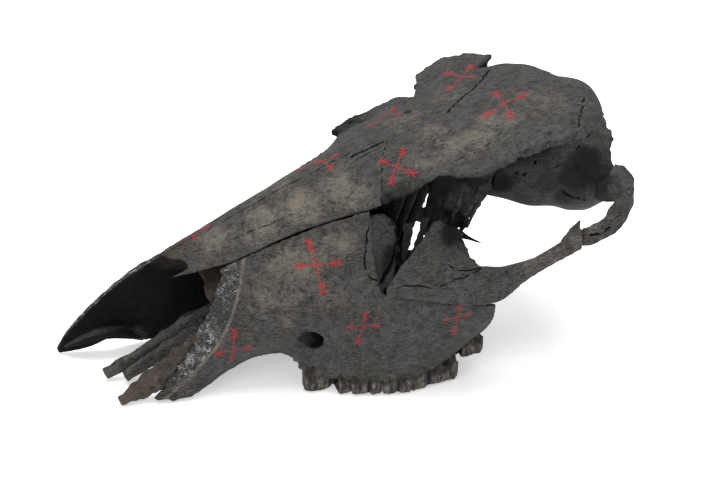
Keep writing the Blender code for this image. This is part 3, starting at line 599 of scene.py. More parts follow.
class Value:
    """A number socket of a material. Arithmetic on it adds Math nodes."""

    def __init__(self, finish, socket):
        self.finish, self.socket = finish, socket

    def math(self, operation, *others, clamp=False):
        node = self.finish.tree.nodes.new("ShaderNodeMath")
        node.operation = operation
        node.use_clamp = clamp
        for slot_in, value in zip(node.inputs, (self, *others)):
            self.finish.feed(slot_in, value)
        return Value(self.finish, node.outputs[0])

    def __add__(self, other):
        return self.math("ADD", other)

    __radd__ = __add__

    def __mul__(self, other):
        return self.math("MULTIPLY", other)

    def __sub__(self, other):
        return self.math("SUBTRACT", other)

    def __rsub__(self, other):
        return Value(self.finish, self.finish.number(other)).math("SUBTRACT", self)

    def clamped(self):
        return self.math("ADD", 0.0, clamp=True)

    def step(self, low, high):
        """0 below low, 1 above high and smooth between them."""
        node = self.finish.node("ShaderNodeMapRange", {"interpolation_type": "SMOOTHSTEP"},
                                {"Value": self, "From Min": low, "From Max": high})
        return Value(self.finish, node.outputs["Result"])


class Finish:
    """A material under construction, with its Principled shader."""

    def __init__(self, name):
        self.material = bpy.data.materials.new(name)
        self.material.use_nodes = True
        self.tree = self.material.node_tree
        self.shader = self.tree.nodes["Principled BSDF"]
        self.coords = self.tree.nodes.new("ShaderNodeTexCoord").outputs["Object"]

    def feed(self, socket, value):
        if isinstance(value, Value):
            self.tree.links.new(value.socket, socket)
        elif isinstance(value, bpy.types.NodeSocket):
            self.tree.links.new(value, socket)
        elif socket.type == "RGBA":
            socket.default_value = (*value, 1.0)
        else:
            socket.default_value = value

    def node(self, kind, settings, inputs):
        node = self.tree.nodes.new(kind)
        for key, value in settings.items():
            setattr(node, key, value)
        for key, value in inputs.items():
            self.feed(node.inputs[key], value)
        return node

    def number(self, value):
        node = self.tree.nodes.new("ShaderNodeValue")
        node.outputs[0].default_value = value
        return node.outputs[0]

    def mask(self, name):
        return Value(self, self.node("ShaderNodeAttribute", {"attribute_name": name}, {}).outputs["Fac"])

    def warped(self, scale, amount):
        """Object coordinates shaken by noise, so that streaks along them bend."""
        shake = self.node("ShaderNodeTexNoise", {}, {"Vector": self.coords, "Scale": scale, "Detail": 2.0})
        away = self.node("ShaderNodeVectorMath", {"operation": "SUBTRACT"},
                         {0: shake.outputs["Color"], 1: (0.5, 0.5, 0.5)})
        moved = self.node("ShaderNodeVectorMath", {"operation": "MULTIPLY_ADD"},
                          {0: away.outputs["Vector"], 1: (amount, amount, amount), 2: self.coords})
        return moved.outputs["Vector"]

    def noise(self, scale, detail=4.0, roughness=0.55, stretch=None, distortion=0.0, vector=None):
        vector = vector or self.coords
        if stretch:
            vector = self.node("ShaderNodeMapping", {}, {"Vector": vector, "Scale": stretch}).outputs["Vector"]
        node = self.node("ShaderNodeTexNoise", {}, {"Vector": vector, "Scale": scale, "Detail": detail,
                                                    "Roughness": roughness, "Distortion": distortion})
        return Value(self, node.outputs["Fac"])

    def cells(self, scale):
        node = self.node("ShaderNodeTexVoronoi", {"feature": "F1"}, {"Vector": self.coords, "Scale": scale})
        return Value(self, node.outputs["Distance"])

    def mix(self, factor, first, second):
        node = self.tree.nodes.new("ShaderNodeMix")
        node.data_type = "RGBA"
        for key, value in (("Factor_Float", factor), ("A_Color", first), ("B_Color", second)):
            self.feed(next(s for s in node.inputs if s.identifier == key), value)
        return next(s for s in node.outputs if s.identifier == "Result_Color")

    def bump(self, height, strength, distance):
        node = self.node("ShaderNodeBump", {}, {"Height": height, "Strength": strength, "Distance": distance})
        self.feed(self.shader.inputs["Normal"], node.outputs["Normal"])


def scaled(colour, share):
    return tuple(c * share for c in colour)


def bone_finish(name, colours, shade_darkness, warmth):
    """Sooty bone: grey with beige wear outside, near black inside, partly sooty bone and partly painted shade, painted
    shade spotted into hollows, painted glints on polished edges, and its seams, sponge and paint by mask.
    """
    f = Finish(name)
    inside, sponge, brown, rim, dark = (f.mask(word) for word in ("inside", "sponge", "brown", "rim", "dark"))
    pale, gloss, crack, paint = (f.mask(word) for word in ("pale", "gloss", "crack", "paint"))
    bent = f.warped(48, 0.012)
    broad = f.noise(62, 4, 0.6)
    mottle = f.noise(210, 6, 0.7, distortion=0.5)
    fibre = f.noise(1, 5, 0.62, stretch=(1300, 170, 1300), vector=bent)
    hair = f.noise(1, 2, 0.5, stretch=(2900, 260, 2900), vector=bent)
    speck = f.noise(2300, 2, 0.5)
    shade = (fibre * 0.33 + mottle * 0.42 + hair * 0.25).step(0.36, 0.64)
    tone = f.mix(shade, scaled(colours.grey, 0.32), scaled(colours.grey, 1.95))
    tone = f.mix((broad * 0.6 + mottle * 0.4).step(0.42, 0.64) * 0.62, tone, scaled(colours.grey, 0.42))
    worn = (pale * 0.85 + broad * 1.2 + mottle * 1.1 + fibre * 1.5 + hair * 0.7 - 2.3).step(-0.1, 1.25)
    tone = f.mix(worn, tone, colours.beige)
    tone = f.mix(brown * fibre.step(0.2, 0.7) * 0.9, tone, colours.brown)
    # Painted shade, partly the bone's own sooty black: faces turned into the nose, turned down, or turned into the
    # braincase and low orbit are mixed to near black
    soot_and_shade = (inside * (1.15 - brown * 0.8)).clamped()
    tone = f.mix(soot_and_shade, tone, f.mix(mottle.step(0.5, 0.75), colours.soot_and_shade, scaled(colours.soot_and_shade, 3.2)))
    # Painted shade: the dark spots darken hollows, fossae, orbits and dents towards near black
    tone = f.mix(dark * (0.55 + mottle * 0.6), tone, scaled(colours.soot_and_shade, 1.6))
    tone = f.mix(rim, tone, f.mix(fibre.step(0.44, 0.68), scaled(colours.soot_and_shade, 4), colours.rim))
    # Painted highlights: white glints painted into the colour of the polished edges
    glint = rim * gloss.step(0.2, 0.8) * (hair * 0.65 + mottle * 0.65).step(0.68, 0.78)
    tone = f.mix(glint * 0.8, tone, scaled(colours.rim, 5.0))
    pores = f.cells(850).step(0.3, 0.08)
    tone = f.mix(sponge * 0.75, tone, f.mix(pores, scaled(colours.grey, 1.7), scaled(colours.soot_and_shade, 0.6)))
    tone = f.mix(rim * pores * 0.7, tone, colours.soot_and_shade)
    tone = f.mix(speck.step(0.6, 0.72) * 0.35, tone, scaled(colours.grey, 0.3))
    tone = f.mix(crack, tone, (0.003, 0.003, 0.003))
    # Painted shade: bones deep inside the nose are mixed towards near black
    if shade_darkness:
        tone = f.mix(shade_darkness, tone, colours.soot_and_shade)
    if warmth:
        tone = f.mix(fibre.step(0.3, 0.7) * warmth, tone, colours.brown)
    dry = (paint * (speck * 0.9 + 0.55)).step(0.35, 0.6) * 0.92
    tone = f.mix(dry, tone, colours.red)
    f.feed(f.shader.inputs["Base Color"], tone)
    rough = 0.62 - gloss * 0.34 + inside * 0.12 - sponge * 0.2 - rim * 0.26 + mottle * 0.2 - worn * 0.06
    f.feed(f.shader.inputs["Roughness"], rough.clamped())
    f.shader.inputs["Specular IOR Level"].default_value = BONE_SPECULAR
    height = fibre * 0.5 + hair * 0.2 + mottle * 0.55 + speck * 0.12 - pores * (sponge + rim * 0.5) * 1.4 - crack * 0.8
    f.bump(height, 0.9, 0.0011)
    return f.material


def tooth_finish(colours):
    """Stained cheek teeth: dark enamel with grey-brown streaks, and black painted shade in the grooves between teeth
    and lobes and along the gum line.
    """
    f = Finish("stained_teeth")
    crack = f.mask("crack")
    streak = f.noise(1, 4, 0.6, stretch=(420, 420, 90))
    mottle = f.noise(260, 5, 0.6)
    tone = f.mix(streak.step(0.35, 0.7), scaled(colours.grey, 0.8), scaled(colours.beige, 1.15))
    tone = f.mix(mottle.step(0.4, 0.62), f.mix(0.6, tone, colours.soot_and_shade), tone)
    # The crack mask holds painted shade between the teeth, in the folds of their lobes and along the gum line
    tone = f.mix(crack, tone, colours.soot_and_shade)
    f.feed(f.shader.inputs["Base Color"], tone)
    f.feed(f.shader.inputs["Roughness"], (0.3 + mottle * 0.25).clamped())
    f.shader.inputs["Specular IOR Level"].default_value = TOOTH_SPECULAR
    f.bump(streak * 0.6 + mottle * 0.4, 0.4, 0.0005)
    return f.material


def floor_finish(colour):
    f = Finish("pale_floor")
    f.shader.inputs["Base Color"].default_value = (*colour, 1)
    f.shader.inputs["Roughness"].default_value = 0.9
    f.shader.inputs["Specular IOR Level"].default_value = 0.1
    # Painted light: the floor glows white, lifting its shadows and lighting the skull's undersides
    f.shader.inputs["Emission Color"].default_value = (1, 1, 1, 1)
    f.shader.inputs["Emission Strength"].default_value = FLOOR_GLOW
    return f.material


def finish_for(kind):
    """The material of that kind, made once. No kind has the name of one of the frame's placeholder materials."""
    colours = bpy.context.scene.skull_colours
    made = bpy.data.materials.get(kind)
    if made:
        return made
    if kind == "stained_teeth":
        return tooth_finish(colours)
    return bone_finish(kind, colours, *BONE_KINDS[kind])


def dress(obj, nodes, kind, inside=None, sponge=(), brown=(), pale=(), gloss=(), dark=(), dents=(), rim=None,
          swell=0.35, fine=0.1, marks=True):
    """Gives a fused bone its relief, masks, material and place in the model.

    Spots are (x, y, z, radius, strength) and dents (x, y, z, radius, depth). inside and rim are functions that work
    out a mask from the skin, and marks says whether the bone carries paint and cracks.
    """
    skin = Skin(obj)
    for x, y, z, radius, depth in dents:
        away = np.linalg.norm(skin.co - (x, y, z), axis=1) / radius
        skin.push(-depth * (1 - smooth_step(away, 0.1, 1.0)))
    if marks:
        lines = [wavy(points) for points, _, _ in CRACKS.values()]
        for reach in REFINED_REACHES:
            near = paint_distance(skin.co)[0] < reach
            for line in lines:
                near |= line_distance(skin.co, line) < reach
            skin.refine(near)
    rough = grain(skin.co, 11.0, 1) * swell + grain(skin.co, 3.4, 2) * fine + grain(skin.co, 1.5, 5) * fine * 0.5
    none = np.zeros(len(skin.co))
    sponge_mask = skin.spots(sponge, 7)
    rough -= sponge_mask * smooth_step(grain(skin.co, 2.4, 9), 0.0, 0.35) * 1.6
    crack = none
    if marks:
        for points, width, depth in CRACKS.values():
            d = line_distance(skin.co, wavy(points)) / width
            crack = np.maximum(crack, 1 - smooth_step(d, 0.35, 1.0))
            rough -= depth * (1 - smooth_step(d, 0.2, 1.3))
    skin.push(rough)
    distance, strength = paint_distance(skin.co)
    # The inside mask marks near black, sooty bone and painted shade; the dark mask marks painted shade spotted into
    # hollows
    # Each kind of spot has a seed of its own, so that no two fray alike
    masks = {
        "inside": none if inside is None else inside(skin),
        "sponge": sponge_mask,
        "brown": skin.spots(brown, 11),
        "pale": skin.worn_spots(pale),
        "gloss": skin.spots(gloss, 17),
        "crack": crack,
        "dark": skin.spots(dark, 19),
        "rim": none if rim is None else rim(skin),
        "paint": strength * (1 - smooth_step(distance, 0.18, 0.5)) if marks else none,
    }
    for name, values in masks.items():
        skin.mask(name, values)
    if "place" in obj.data.attributes:
        obj.data.attributes.remove(obj.data.attributes["place"])
    obj.data.materials.clear()
    obj.data.materials.append(finish_for(kind))
    alone(obj)
    bpy.ops.object.shade_smooth()
    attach(obj, "root")
    if nodes:
        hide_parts(*nodes)
    return skin


# Faces turned into the nasal cavity, which the material paints near black: sooty bone and painted shade
def towards_nose(skin):
    return smooth_step((skin.normal * to_nose_axis(skin.co)).sum(axis=1), 0.05, 0.55)


# Faces turned down, which the material paints near black as painted shade
def underside(skin):
    return smooth_step(-skin.normal[:, 2], -0.1, 0.45)


# Roof of the skull

PALE_ROOF = [
    (10, 91, 89, 13, 0.9), (16, 116, 98, 16, 1.0), (18, 138, 109, 17, 1.0), (19, 161, 119, 16, 0.9),
    (31, 169, 118, 12, 0.9), (34, 203, 134, 15, 0.55), (30, 221, 140, 16, 0.7), (25, 240, 144, 18, 0.75),
    (15, 256, 147, 18, 0.7), (7, 217, 141, 14, 0.5),
    (2, 284, 150, 22, 0.4), (-31, 241, 143, 16, 0.35), (-15, 206, 138, 15, 0.45), (-12, 130, 108, 22, 0.5),
]


def nasal(side, word):
    grid = patch([MIDLINE, NASAL_CROWN, NASAL_SHOULDER, NASAL_SEAM], 96, 28)
    rows = np.linspace(0, 1, 96)
    open_seam = 0.25 + (0.55 * smooth_step(rows, 0.3, 0.4) * (1 - smooth_step(rows, 0.82, 0.95)) if side > 0 else 0)
    grid = pulled_in(grid, u1=-0.5, v0=-0.35, v1=open_seam + ragged(rows * 130, 0.16, 3.1))
    v = np.linspace(0, 1, 28)
    notch = 0.03 * np.exp(-((v - 0.55) / 0.22) ** 4) + abs(ragged(v * 25, 0.007, 1.6))
    grid = eaten(grid, notch)
    wall = np.interp(rows, [0, 0.12, 1], [1.2, 2.6, 2.6])[:, None]
    obj = fused(f"nasal_{word}_bone", [plate(grid, wall, to_nose_axis, side)], 0.74)
    dress(obj, [f"nasal_{word}"], "sooty_bone", towards_nose, pale=PALE_ROOF,
          brown=[(6, 66, 76, 9, 0.7), (-8, 72, 76, 14, 0.9)])


def frontal_plate(side):
    edge = FRONTAL_EDGE if side > 0 else FRONTAL_EDGE_RIGHT
    grid = patch([FRONTAL_MID, FRONTAL_INNER, FRONTAL_OUTER, edge], 60, 44)
    rows, columns = np.linspace(0, 1, 60), np.linspace(0, 1, 44)
    grid = pulled_in(grid, u0=-0.3, u1=-1.2, v0=-0.35, v1=ragged(rows * 90, 0.9, 2.3) + ragged(rows * 90, 0.5, 0.7))
    share = np.interp(rows, [0, 0.5, 0.65, 1], [0.45, 0.5, 1.1, 1.2] if side > 0 else [0.45] * 4)
    across = np.interp(columns, [0, 0.7, 1], [0, 0, 1])
    return plate(grid, 5.0 * (1 + np.outer(share - 1, across)), straight(0, 0, -1), side)


def orbit_wall(side):
    """Inner wall of the orbit with its broken ridges."""
    top = [(31, 214, 134), (33, 228, 137), (34, 245.5, 139.5)]
    middle = [(27, 210, 108), (28, 226, 110), (31, 245.5, 118)]
    low = [(24, 207, 84), (23, 222, 81), (26, 241, 98)]
    shells = [plate(patch([top, middle, low], 30, 40), 2.2, None, side)]
    ridges = [
        ([(35, 242.5, 137), (32, 240, 118), (29, 235, 98), (27, 230, 82.5)], [6, 5, 4, 3]),
        ([(34, 246, 128), (34, 243, 116), (33, 238, 104), (33, 232, 90)], [2, 4, 3.5, 1.5]),
        ([(32, 233, 130), (31, 229, 110), (30, 222, 92)], [2.5, 3.6, 2]),
        ([(31, 224, 126), (29, 218, 108), (29, 211, 92)], [2, 3, 2.4]),
        ([(34, 238, 112), (36, 232, 104), (38, 226, 97)], [3, 2.5, 1.5]),
    ]
    for k, (path, widths) in enumerate(ridges):
        shells.append(bar(path, widths, widths, side, up=(1, 0, 0), roughen=0.4, seed=2 + k))
    return shells


def orbit_wings(side):
    """Broken plates of the left orbit: one that hangs from the frontal and a splinter over the socket."""
    hanging = patch([[(46, 227.5, 134), (46, 235, 136), (45, 244, 138)],
                     [(43, 229, 126), (44, 236, 126), (45, 243, 130)],
                     [(40, 230, 120), (42, 235, 122), (44, 241, 125)]], 24, 16)
    hanging[:, -1, 2] += ragged(np.arange(24), 1.6, 1.1)
    return [plate(hanging, 1.8, None, side),
            bar([(34, 224, 90), (40, 231, 87.5), (44, 238.5, 85)], [5, 3, 0.8], [4, 2.4, 0.8], side, roughen=0.3)]


def frontal(side, word):
    shells = [frontal_plate(side)] + orbit_wall(side)
    cutters = []
    if side > 0:
        shells += orbit_wings(side)
    else:
        inner = [(46, 222, 133.4), (48, 240, 138.6), (52, 256, 143), (54, 267, 145)]
        middle = [(60, 229, 136), (67, 245, 140.5), (70, 259, 144), (67.5, 272, 144.6)]
        outer = [(80, 237, 136.5), (86, 251, 142), (85.5, 272, 144.6), (80, 285, 144.6)]
        lobe = patch([inner, middle, outer], 50, 40)
        lobe[:, -1, 0] += ragged(np.arange(50), 1.3, 2.4) + ragged(np.arange(50), 0.6, 0.8)
        lobe[0, 14:, 1] += ragged(np.arange(26), 1.6, 2.0) - 0.5
        shells.append(plate(lobe, 3.6, straight(0, 0, -1), side))
        shells.append(bar([(78, 276, 141), (77, 281, 130), (75, 284, 118), (73, 285, 109.4)], [9, 6, 5, 6],
                          [5, 4, 4, 4], side, up=(1, 0, 0), roughen=0.2))
        shells.append(bar([(41, 196, 124.5), (45, 185, 121.5), (49, 174, 119.6)], [13, 11, 3], [3, 3, 1.6], side,
                          roughen=0.3, seed=4))
        brow_in = [(45, 177.5, 117.6), (40.6, 182.5, 119.5), (44, 196, 126), (45, 205, 130.5), (46, 214, 134),
                   (46, 225, 136)]
        brow_out = [(53.4, 174.6, 117.6), (57.5, 181, 119.5), (59, 187, 122), (59.8, 194.5, 124), (58.6, 201.6, 127),
                    (57.6, 207.6, 130), (57.8, 215.7, 133), (54.7, 221, 134.5), (48, 228, 136.4)]
        brow = patch([brow_in, brow_out], 60, 18)
        brow[:, -1, 0] += ragged(np.arange(60), 0.7, 2.2) + ragged(np.arange(60), 0.5, 0.7)
        shells.append(plate(brow, 3.0, straight(0, 0, -1), side))
        cutters.append(bar([(24.5, 213, 150), (24, 215, 120)], [5, 5], [4, 4], side, up=(0, 1, 0)))
    obj = fused(f"frontal_{word}_bone", shells, 0.8 if side > 0 else 0.89, cutters)

    def shaded(skin):
        deep = smooth_step(129 - skin.co[:, 2], 0, 9) * (0.72 + 0.4 * grain(skin.co, 5.0, 8))
        return np.maximum(underside(skin), deep)

    if side > 0:
        sponge = [(53, 238, 138, 7, 0.6), (50, 250, 143, 7, 0.8), (47, 262, 145, 7, 1.0), (42, 257, 145, 5, 0.9),
                  (32, 234, 105, 13, 0.8), (36, 240, 120, 8, 0.6)]
        dents = [(44, 258, 145, 5, 1.6), (51, 262, 143, 6, 1.6), (52, 250, 142, 5, 1.0)]
    else:
        sponge = [(-80, 250, 141, 5, 0.6), (-24, 206, 138, 4, 0.4)]
        dents = []
    # The dark spots are painted shade under the brow, on the orbit wall and in the dents of its margin
    dress(obj, [f"frontal_{word}"], "sooty_bone", shaded, sponge=sponge, pale=PALE_ROOF, dents=dents,
          dark=[(40, 200, 120, 13, 0.8), (33, 232, 124, 12, 1.0), (31, 216, 120, 12, 1.0), (34, 243, 124, 9, 0.7),
                (50, 259, 145, 5, 0.7), (44, 258, 145, 4, 0.8)] if side > 0 else [])


# Braincase

def brain_ring(section, inset):
    y, top, shoulder, flank, low, base, floor = section
    half = [(0, top), shoulder, flank, low, base, (0, floor)]
    centre = np.array([0, (top + floor) / 2])
    ring = along([(x, 0, z) for x, z in half], np.linspace(0, 1, 33))[:, [0, 2]]
    away = ring - centre
    away /= np.maximum(np.linalg.norm(away, axis=1, keepdims=True), 1e-6)
    ring = ring - away * inset
    full = np.concatenate([ring, ring[-2:0:-1] * (-1, 1)])
    return np.stack([full[:, 0], np.full(len(full), y), full[:, 1]], axis=1)


def finer_rings(rings, count):
    """More rings on a smooth path through the given ones."""
    rings = np.array(rings)
    return np.stack([along(rings[:, i], np.linspace(0, 1, count)) for i in range(rings.shape[1])], axis=1)


def braincase():
    outer = finer_rings([brain_ring(s, 0) for s in BRAIN_SECTIONS], 40)
    inner = finer_rings([brain_ring(s, 3.2) for s in BRAIN_SECTIONS[1:]], 34)
    jag = ragged(np.arange(outer.shape[1]) * 2.8, 2.2, 7.0)
    for rings in (outer, inner):
        rings[-1, :, 1] += jag
        rings[-2, :, 1] += jag * 0.6
    shells = [tube(np.concatenate([outer, inner[::-1]]))]
    for side, outer_rail, edge in ((1, PARIETAL_OUTER, PARIETAL_EDGE), (-1, PARIETAL_OUTER_RIGHT, PARIETAL_EDGE_RIGHT)):
        roof = pulled_in(patch([PARIETAL_MID, PARIETAL_INNER, outer_rail, edge], 36, 40), u0=SEAM / 2)
        roof[:, 0, 0] = -0.5
        shells.append(plate(roof, 5.0, straight(0, 0, -1), side))
    crest_top = [(38, 292, 144.6), (30, 300, 146.4), (17, 309, 148), (0, 314.5, 148.4)]
    crest_low = [(40, 303, 136), (31, 311, 137), (18, 318, 138.6), (0, 321, 139.6)]
    left_top = crest_top[::-1] + [(43, 296, 135), (46, 300, 128), (46, 303, 121)]
    left_low = [(0, 321, 139.6), (16, 317.5, 140), (25, 316.5, 139.5), (35, 316, 136), (40, 312.5, 132),
                (43, 313, 127), (50, 314, 121)]
    crest_mid = [(38, 300, 143.5), (31, 309, 146), (20, 318.6, 146.8), (0, 320, 145)]
    left_mid = [(0, 320, 145), (16.5, 315.5, 143.5), (28, 309, 142.5), (37, 303, 140), (42, 304, 134), (45, 306, 128),
                (48, 308.5, 121)]
    rows = ((crest_top, left_top), (crest_mid, left_mid), (crest_low, left_low))
    full = [[(-x, y, z) for x, y, z in right[:-1]] + left for right, left in rows]
    face = patch(full, 90, 14)
    face[:, -1, 2] += ragged(np.arange(90) * 1.3, 1.6, 2.6, 1.0)
    face[:, -1, 1] += ragged(np.arange(90) * 1.3, 1.7, 2.2, 0.3) + ragged(np.arange(90), 0.6, 0.6)
    shells.append(plate(face, 4.0))
    shells.append(bar([(0, 252, 98), (0, 236, 100), (0, 220, 98)], [20, 14, 7], [10, 9, 6], roughen=0.1))
    obj = fused("braincase_bone", shells, 1.0)

    def hollow(skin):
        """Inside of the cup, where normals point at its middle, and a little of the temporal fossa outside it: where
        painted shade turns the bone near black.
        """
        to_middle = np.stack([-skin.co[:, 0], np.zeros(len(skin.co)), 118 - skin.co[:, 2]], axis=1)
        to_middle /= np.maximum(np.linalg.norm(to_middle, axis=1, keepdims=True), 1e-6)
        cup = smooth_step((skin.normal * to_middle).sum(axis=1), 0.1, 0.5)
        fossa = 0.42 * smooth_step(143 - skin.co[:, 2], 0, 9) * (0.8 + 0.5 * grain(skin.co, 9.0, 4))
        return np.maximum(cup, fossa)

    # The dark spots are painted shade in the temporal fossa and in the dents of the broken roof
    dress(obj, ["braincase"], "sooty_bone", hollow, pale=PALE_ROOF,
          sponge=[(46, 275, 146, 8, 1.0), (36, 272, 148, 6, 0.9), (44, 282, 145, 7, 0.8), (38, 279, 147.5, 8, 1.0),
                  (45, 262, 142, 5, 0.8)],
          gloss=[(40, 290, 110, 26, 0.6)],
          dark=[(46, 296, 128, 12, 1.0), (46, 288, 124, 10, 0.9), (34, 250, 117, 10, 1.0), (45, 304, 122, 9, 0.9),
                (41, 279, 147, 7, 1.0), (45, 283, 144, 6, 0.9), (35, 272, 148, 5, 0.7), (46, 268, 138, 6, 0.6),
                (45, 275, 121, 9, 0.5), (43, 287, 111, 9, 0.5)],
          dents=[(41, 279, 147, 5, 2.2), (47, 296, 129, 15, 1.6), (46, 288, 125, 9, 0.8), (39, 258, 124, 5, 2.0),
                 (34, 250, 117, 8, 2.5),
                 (46, 275, 146, 6, 1.6), (44, 283, 113, 7, 1.5)])


# Face

PALE_CHEEK = [
    (38, 133, 80, 22, 0.85), (39, 121, 62, 20, 0.7), (47, 148, 69, 14, 0.5), (36, 110, 70, 14, 0.5),
    (41, 155, 95, 11, 1.0), (39, 146, 88, 12, 0.6),
]
FORAMEN_PATH = [(56, 130, 34.5), (44, 137, 35), (34, 150, 37)]
# Worn hole through the right upper jaw and palatine, a guess that lets the floor show through the left orbit
WORN_HOLE = ([(14, 215.5, 61), (74, 233.5, 27)], [19, 19], [19, 19])


def cheek_plates(side):
    """Outer wall of the upper jaw. On the left its front end is thick and slanted, which is the polished bevel."""
    def bevelled(grid):
        d = to_nose_axis(grid).copy()
        d[0, :, 1] -= 1.25
        return d

    direction = bevelled if side > 0 else to_nose_axis
    u = np.linspace(0, 1, 60)
    upper = pulled_in(patch([CHEEK_UPPER_SEAM, CHEEK_UPPER_MID, CHEEK_LINE], 60, 34), v0=0.25)
    upper[:, -1] += (-0.7, 0.3, -1.8)
    lower = patch([CHEEK_LINE + CHEEK_LINE_BACK[1:], CHEEK_LOWER_MID, TOOTH_EDGE], 110, 36)
    front = 9.0 if side > 0 else 3.2
    upper_wall = np.interp(u, [0, 0.12, 1], [front, 3.2, 3.2])[:, None]
    share = np.interp(np.linspace(0, 1, 110), [0, 0.12, 1], [1, 0, 0])[:, None]
    lower_wall = share * np.linspace(front, 3.2, 36)[None, :] + (1 - share) * 3.8
    return [plate(upper, upper_wall, direction, side), plate(lower, lower_wall, direction, side)]


def tooth_outer_x(y):
    return float(np.interp(y, *TOOTH_OUTER_X))


def jaw_body(side):
    """Solid part of the upper jaw, which carries the sockets."""
    rings = []
    for y, low, middle_x, middle_z, high in JAW_SECTIONS:
        edge = tooth_outer_x(y) - 1.5
        inner = edge - (JAW_DEPTH if 135 < y < 235 else JAW_DEPTH - 5)
        ring = [(inner, y, low), (edge, y, low), (middle_x, y, middle_z), (middle_x - 3, y, high), (inner + 4, y, high),
                (inner - 1, y, middle_z)]
        closed = np.array(ring + ring[:1], float)
        rings.append(np.concatenate([a + (b - a) * np.linspace(0, 1, 6, endpoint=False)[:, None]
                                     for a, b in zip(closed, closed[1:])]))
    return tube(finer_rings(rings, 50), side)


def palate_grid(y0, y1, count, reach):
    """Half of the vaulted roof of the mouth, from the midline to so far inside the teeth's outer faces."""
    rows = []
    for y in np.linspace(y0, y1, count):
        outer = tooth_outer_x(y) - reach if y > 137 else np.interp(y, [60, 92, 131, 137], [32, 25, 24, 26])
        crown = np.interp(y, [60, 85, 135, 206], [22, 32, 37, 44])
        edge = np.interp(y, [60, 92, 131, 157, 206], [8, 14, 21, 22, 30])
        t = np.linspace(0, 1, 20)
        rows.append(np.stack([SEAM / 2 + (outer - SEAM / 2) * t, np.full(20, y), crown + (edge - crown) * t**2.2],
                             axis=1))
    return np.array(rows)


def recess_strip(side):
    """Sunken strip behind the cheek plate that the missing lacrimal bone once covered."""
    front = [(40.5, 170, 109), (43.5, 171, 93), (50, 172.5, 78), (56, 174, 66)]
    middle = [(37.5, 177, 109.5), (39, 180.5, 98), (42, 181.5, 84), (52, 179.5, 68)]
    back = [(38, 181.5, 109), (38, 189, 101), (39.5, 189, 84), (52, 183, 67)]
    return plate(patch([front, middle, back], 44, 24), 2.2, None, side)


def maxilla(side, word):
    shells = cheek_plates(side) + [jaw_body(side), recess_strip(side)]
    shells.append(plate(palate_grid(74, 196, 60, 14), 3.4, straight(0, 0, 1), side))
    cutters = [bar(FORAMEN_PATH, [15, 13, 10], [13.5, 12.5, 9], side, roughen=0.15)]
    if side < 0:
        cutters.append(bar(*WORN_HOLE, side))
    obj = fused(f"maxilla_{word}_bone", shells, 1.19, cutters)
    edge = [CHEEK_UPPER_SEAM[0], CHEEK_UPPER_MID[0], CHEEK_LINE[0], CHEEK_LOWER_MID[0], TOOTH_EDGE[0]]
    edge = along(edge, np.linspace(0, 1, 40)) * (side, 1, 1)

    def broken_edge(skin):
        """Polished front margin, all that lies ahead of the plate's outer edge at the same height."""
        order = np.argsort(edge[:, 2])
        ahead = np.interp(skin.co[:, 2], edge[order, 2], edge[order, 1]) - skin.co[:, 1]
        face = smooth_step(ahead, -0.4, 0.8) * smooth_step(skin.normal[:, 0] * side, -0.5, 0.1)
        at_edge = 1 - smooth_step(line_distance(skin.co, edge), 0.5, 1.3)
        return np.maximum(face * (0.8 + 0.4 * grain(skin.co, 3.0, 6)), at_edge)

    # The dark spots are painted shade round the foramen, in the recess before the orbit and in pits at the front of the
    # tooth row
    skin = dress(obj, [f"maxilla_{word}"], "sooty_bone", towards_nose, rim=broken_edge, pale=PALE_CHEEK,
                 dark=[(32, 147, 36.5, 9, 1.0), (40, 136, 12, 7, 0.7), (40, 184, 84, 7, 0.9), (44, 181, 79, 5, 0.9),
                       (38, 135, 33, 6, 0.7)],
                 sponge=[(42, 138, 12, 8, 0.9), (34, 131, 14, 8, 0.9), (36, 134, 34, 6, 0.7), (44, 174, 90, 9, 0.35),
                         (42, 174, 103, 8, 0.35)],
                 gloss=[(29, 66, 35, 26, 1.0), (27, 92, 70, 16, 0.7), (34, 131, 14, 10, 0.8)])
    if side > 0:
        lip = edge + (0.6, 2.0, 0)
        near = 1 - smooth_step(line_distance(skin.co, lip), 0.4, 1.6)
        skin.mask("pale", np.maximum(skin.worn_spots(PALE_CHEEK), near))


def lobe(x, y, width, span, tip, crown, side):
    """One lobe of a cheek tooth, with a worn hollow between its two ridges."""
    rings = []
    for share, swell in ((0.0, 0.55), (0.02, 0.8), (0.14, 0.93), (0.4, 1.0), (0.8, 0.97), (1.1, 0.86), (1.5, 0.7)):
        ring = ellipse_ring((x, y, tip + crown * share), (width / 2 * swell, 0, 0), (0, span * swell, 0), 28, 2.7)
        rings.append(ring)
    rings = finer_rings(rings, 30)
    across = (rings[:, :, 0] - x) / (width / 2)
    waist = 1 - 0.12 * (1 - abs(across)) ** 2
    rings[:, :, 1] = y + (rings[:, :, 1] - y) * waist
    low = rings[:3]
    low[:, :, 2] += 1.3 * (1 - abs((low[:, :, 0] - x) / (width / 2)) ** 2 * 1.6).clip(0, 1)
    return tube(rings, side)


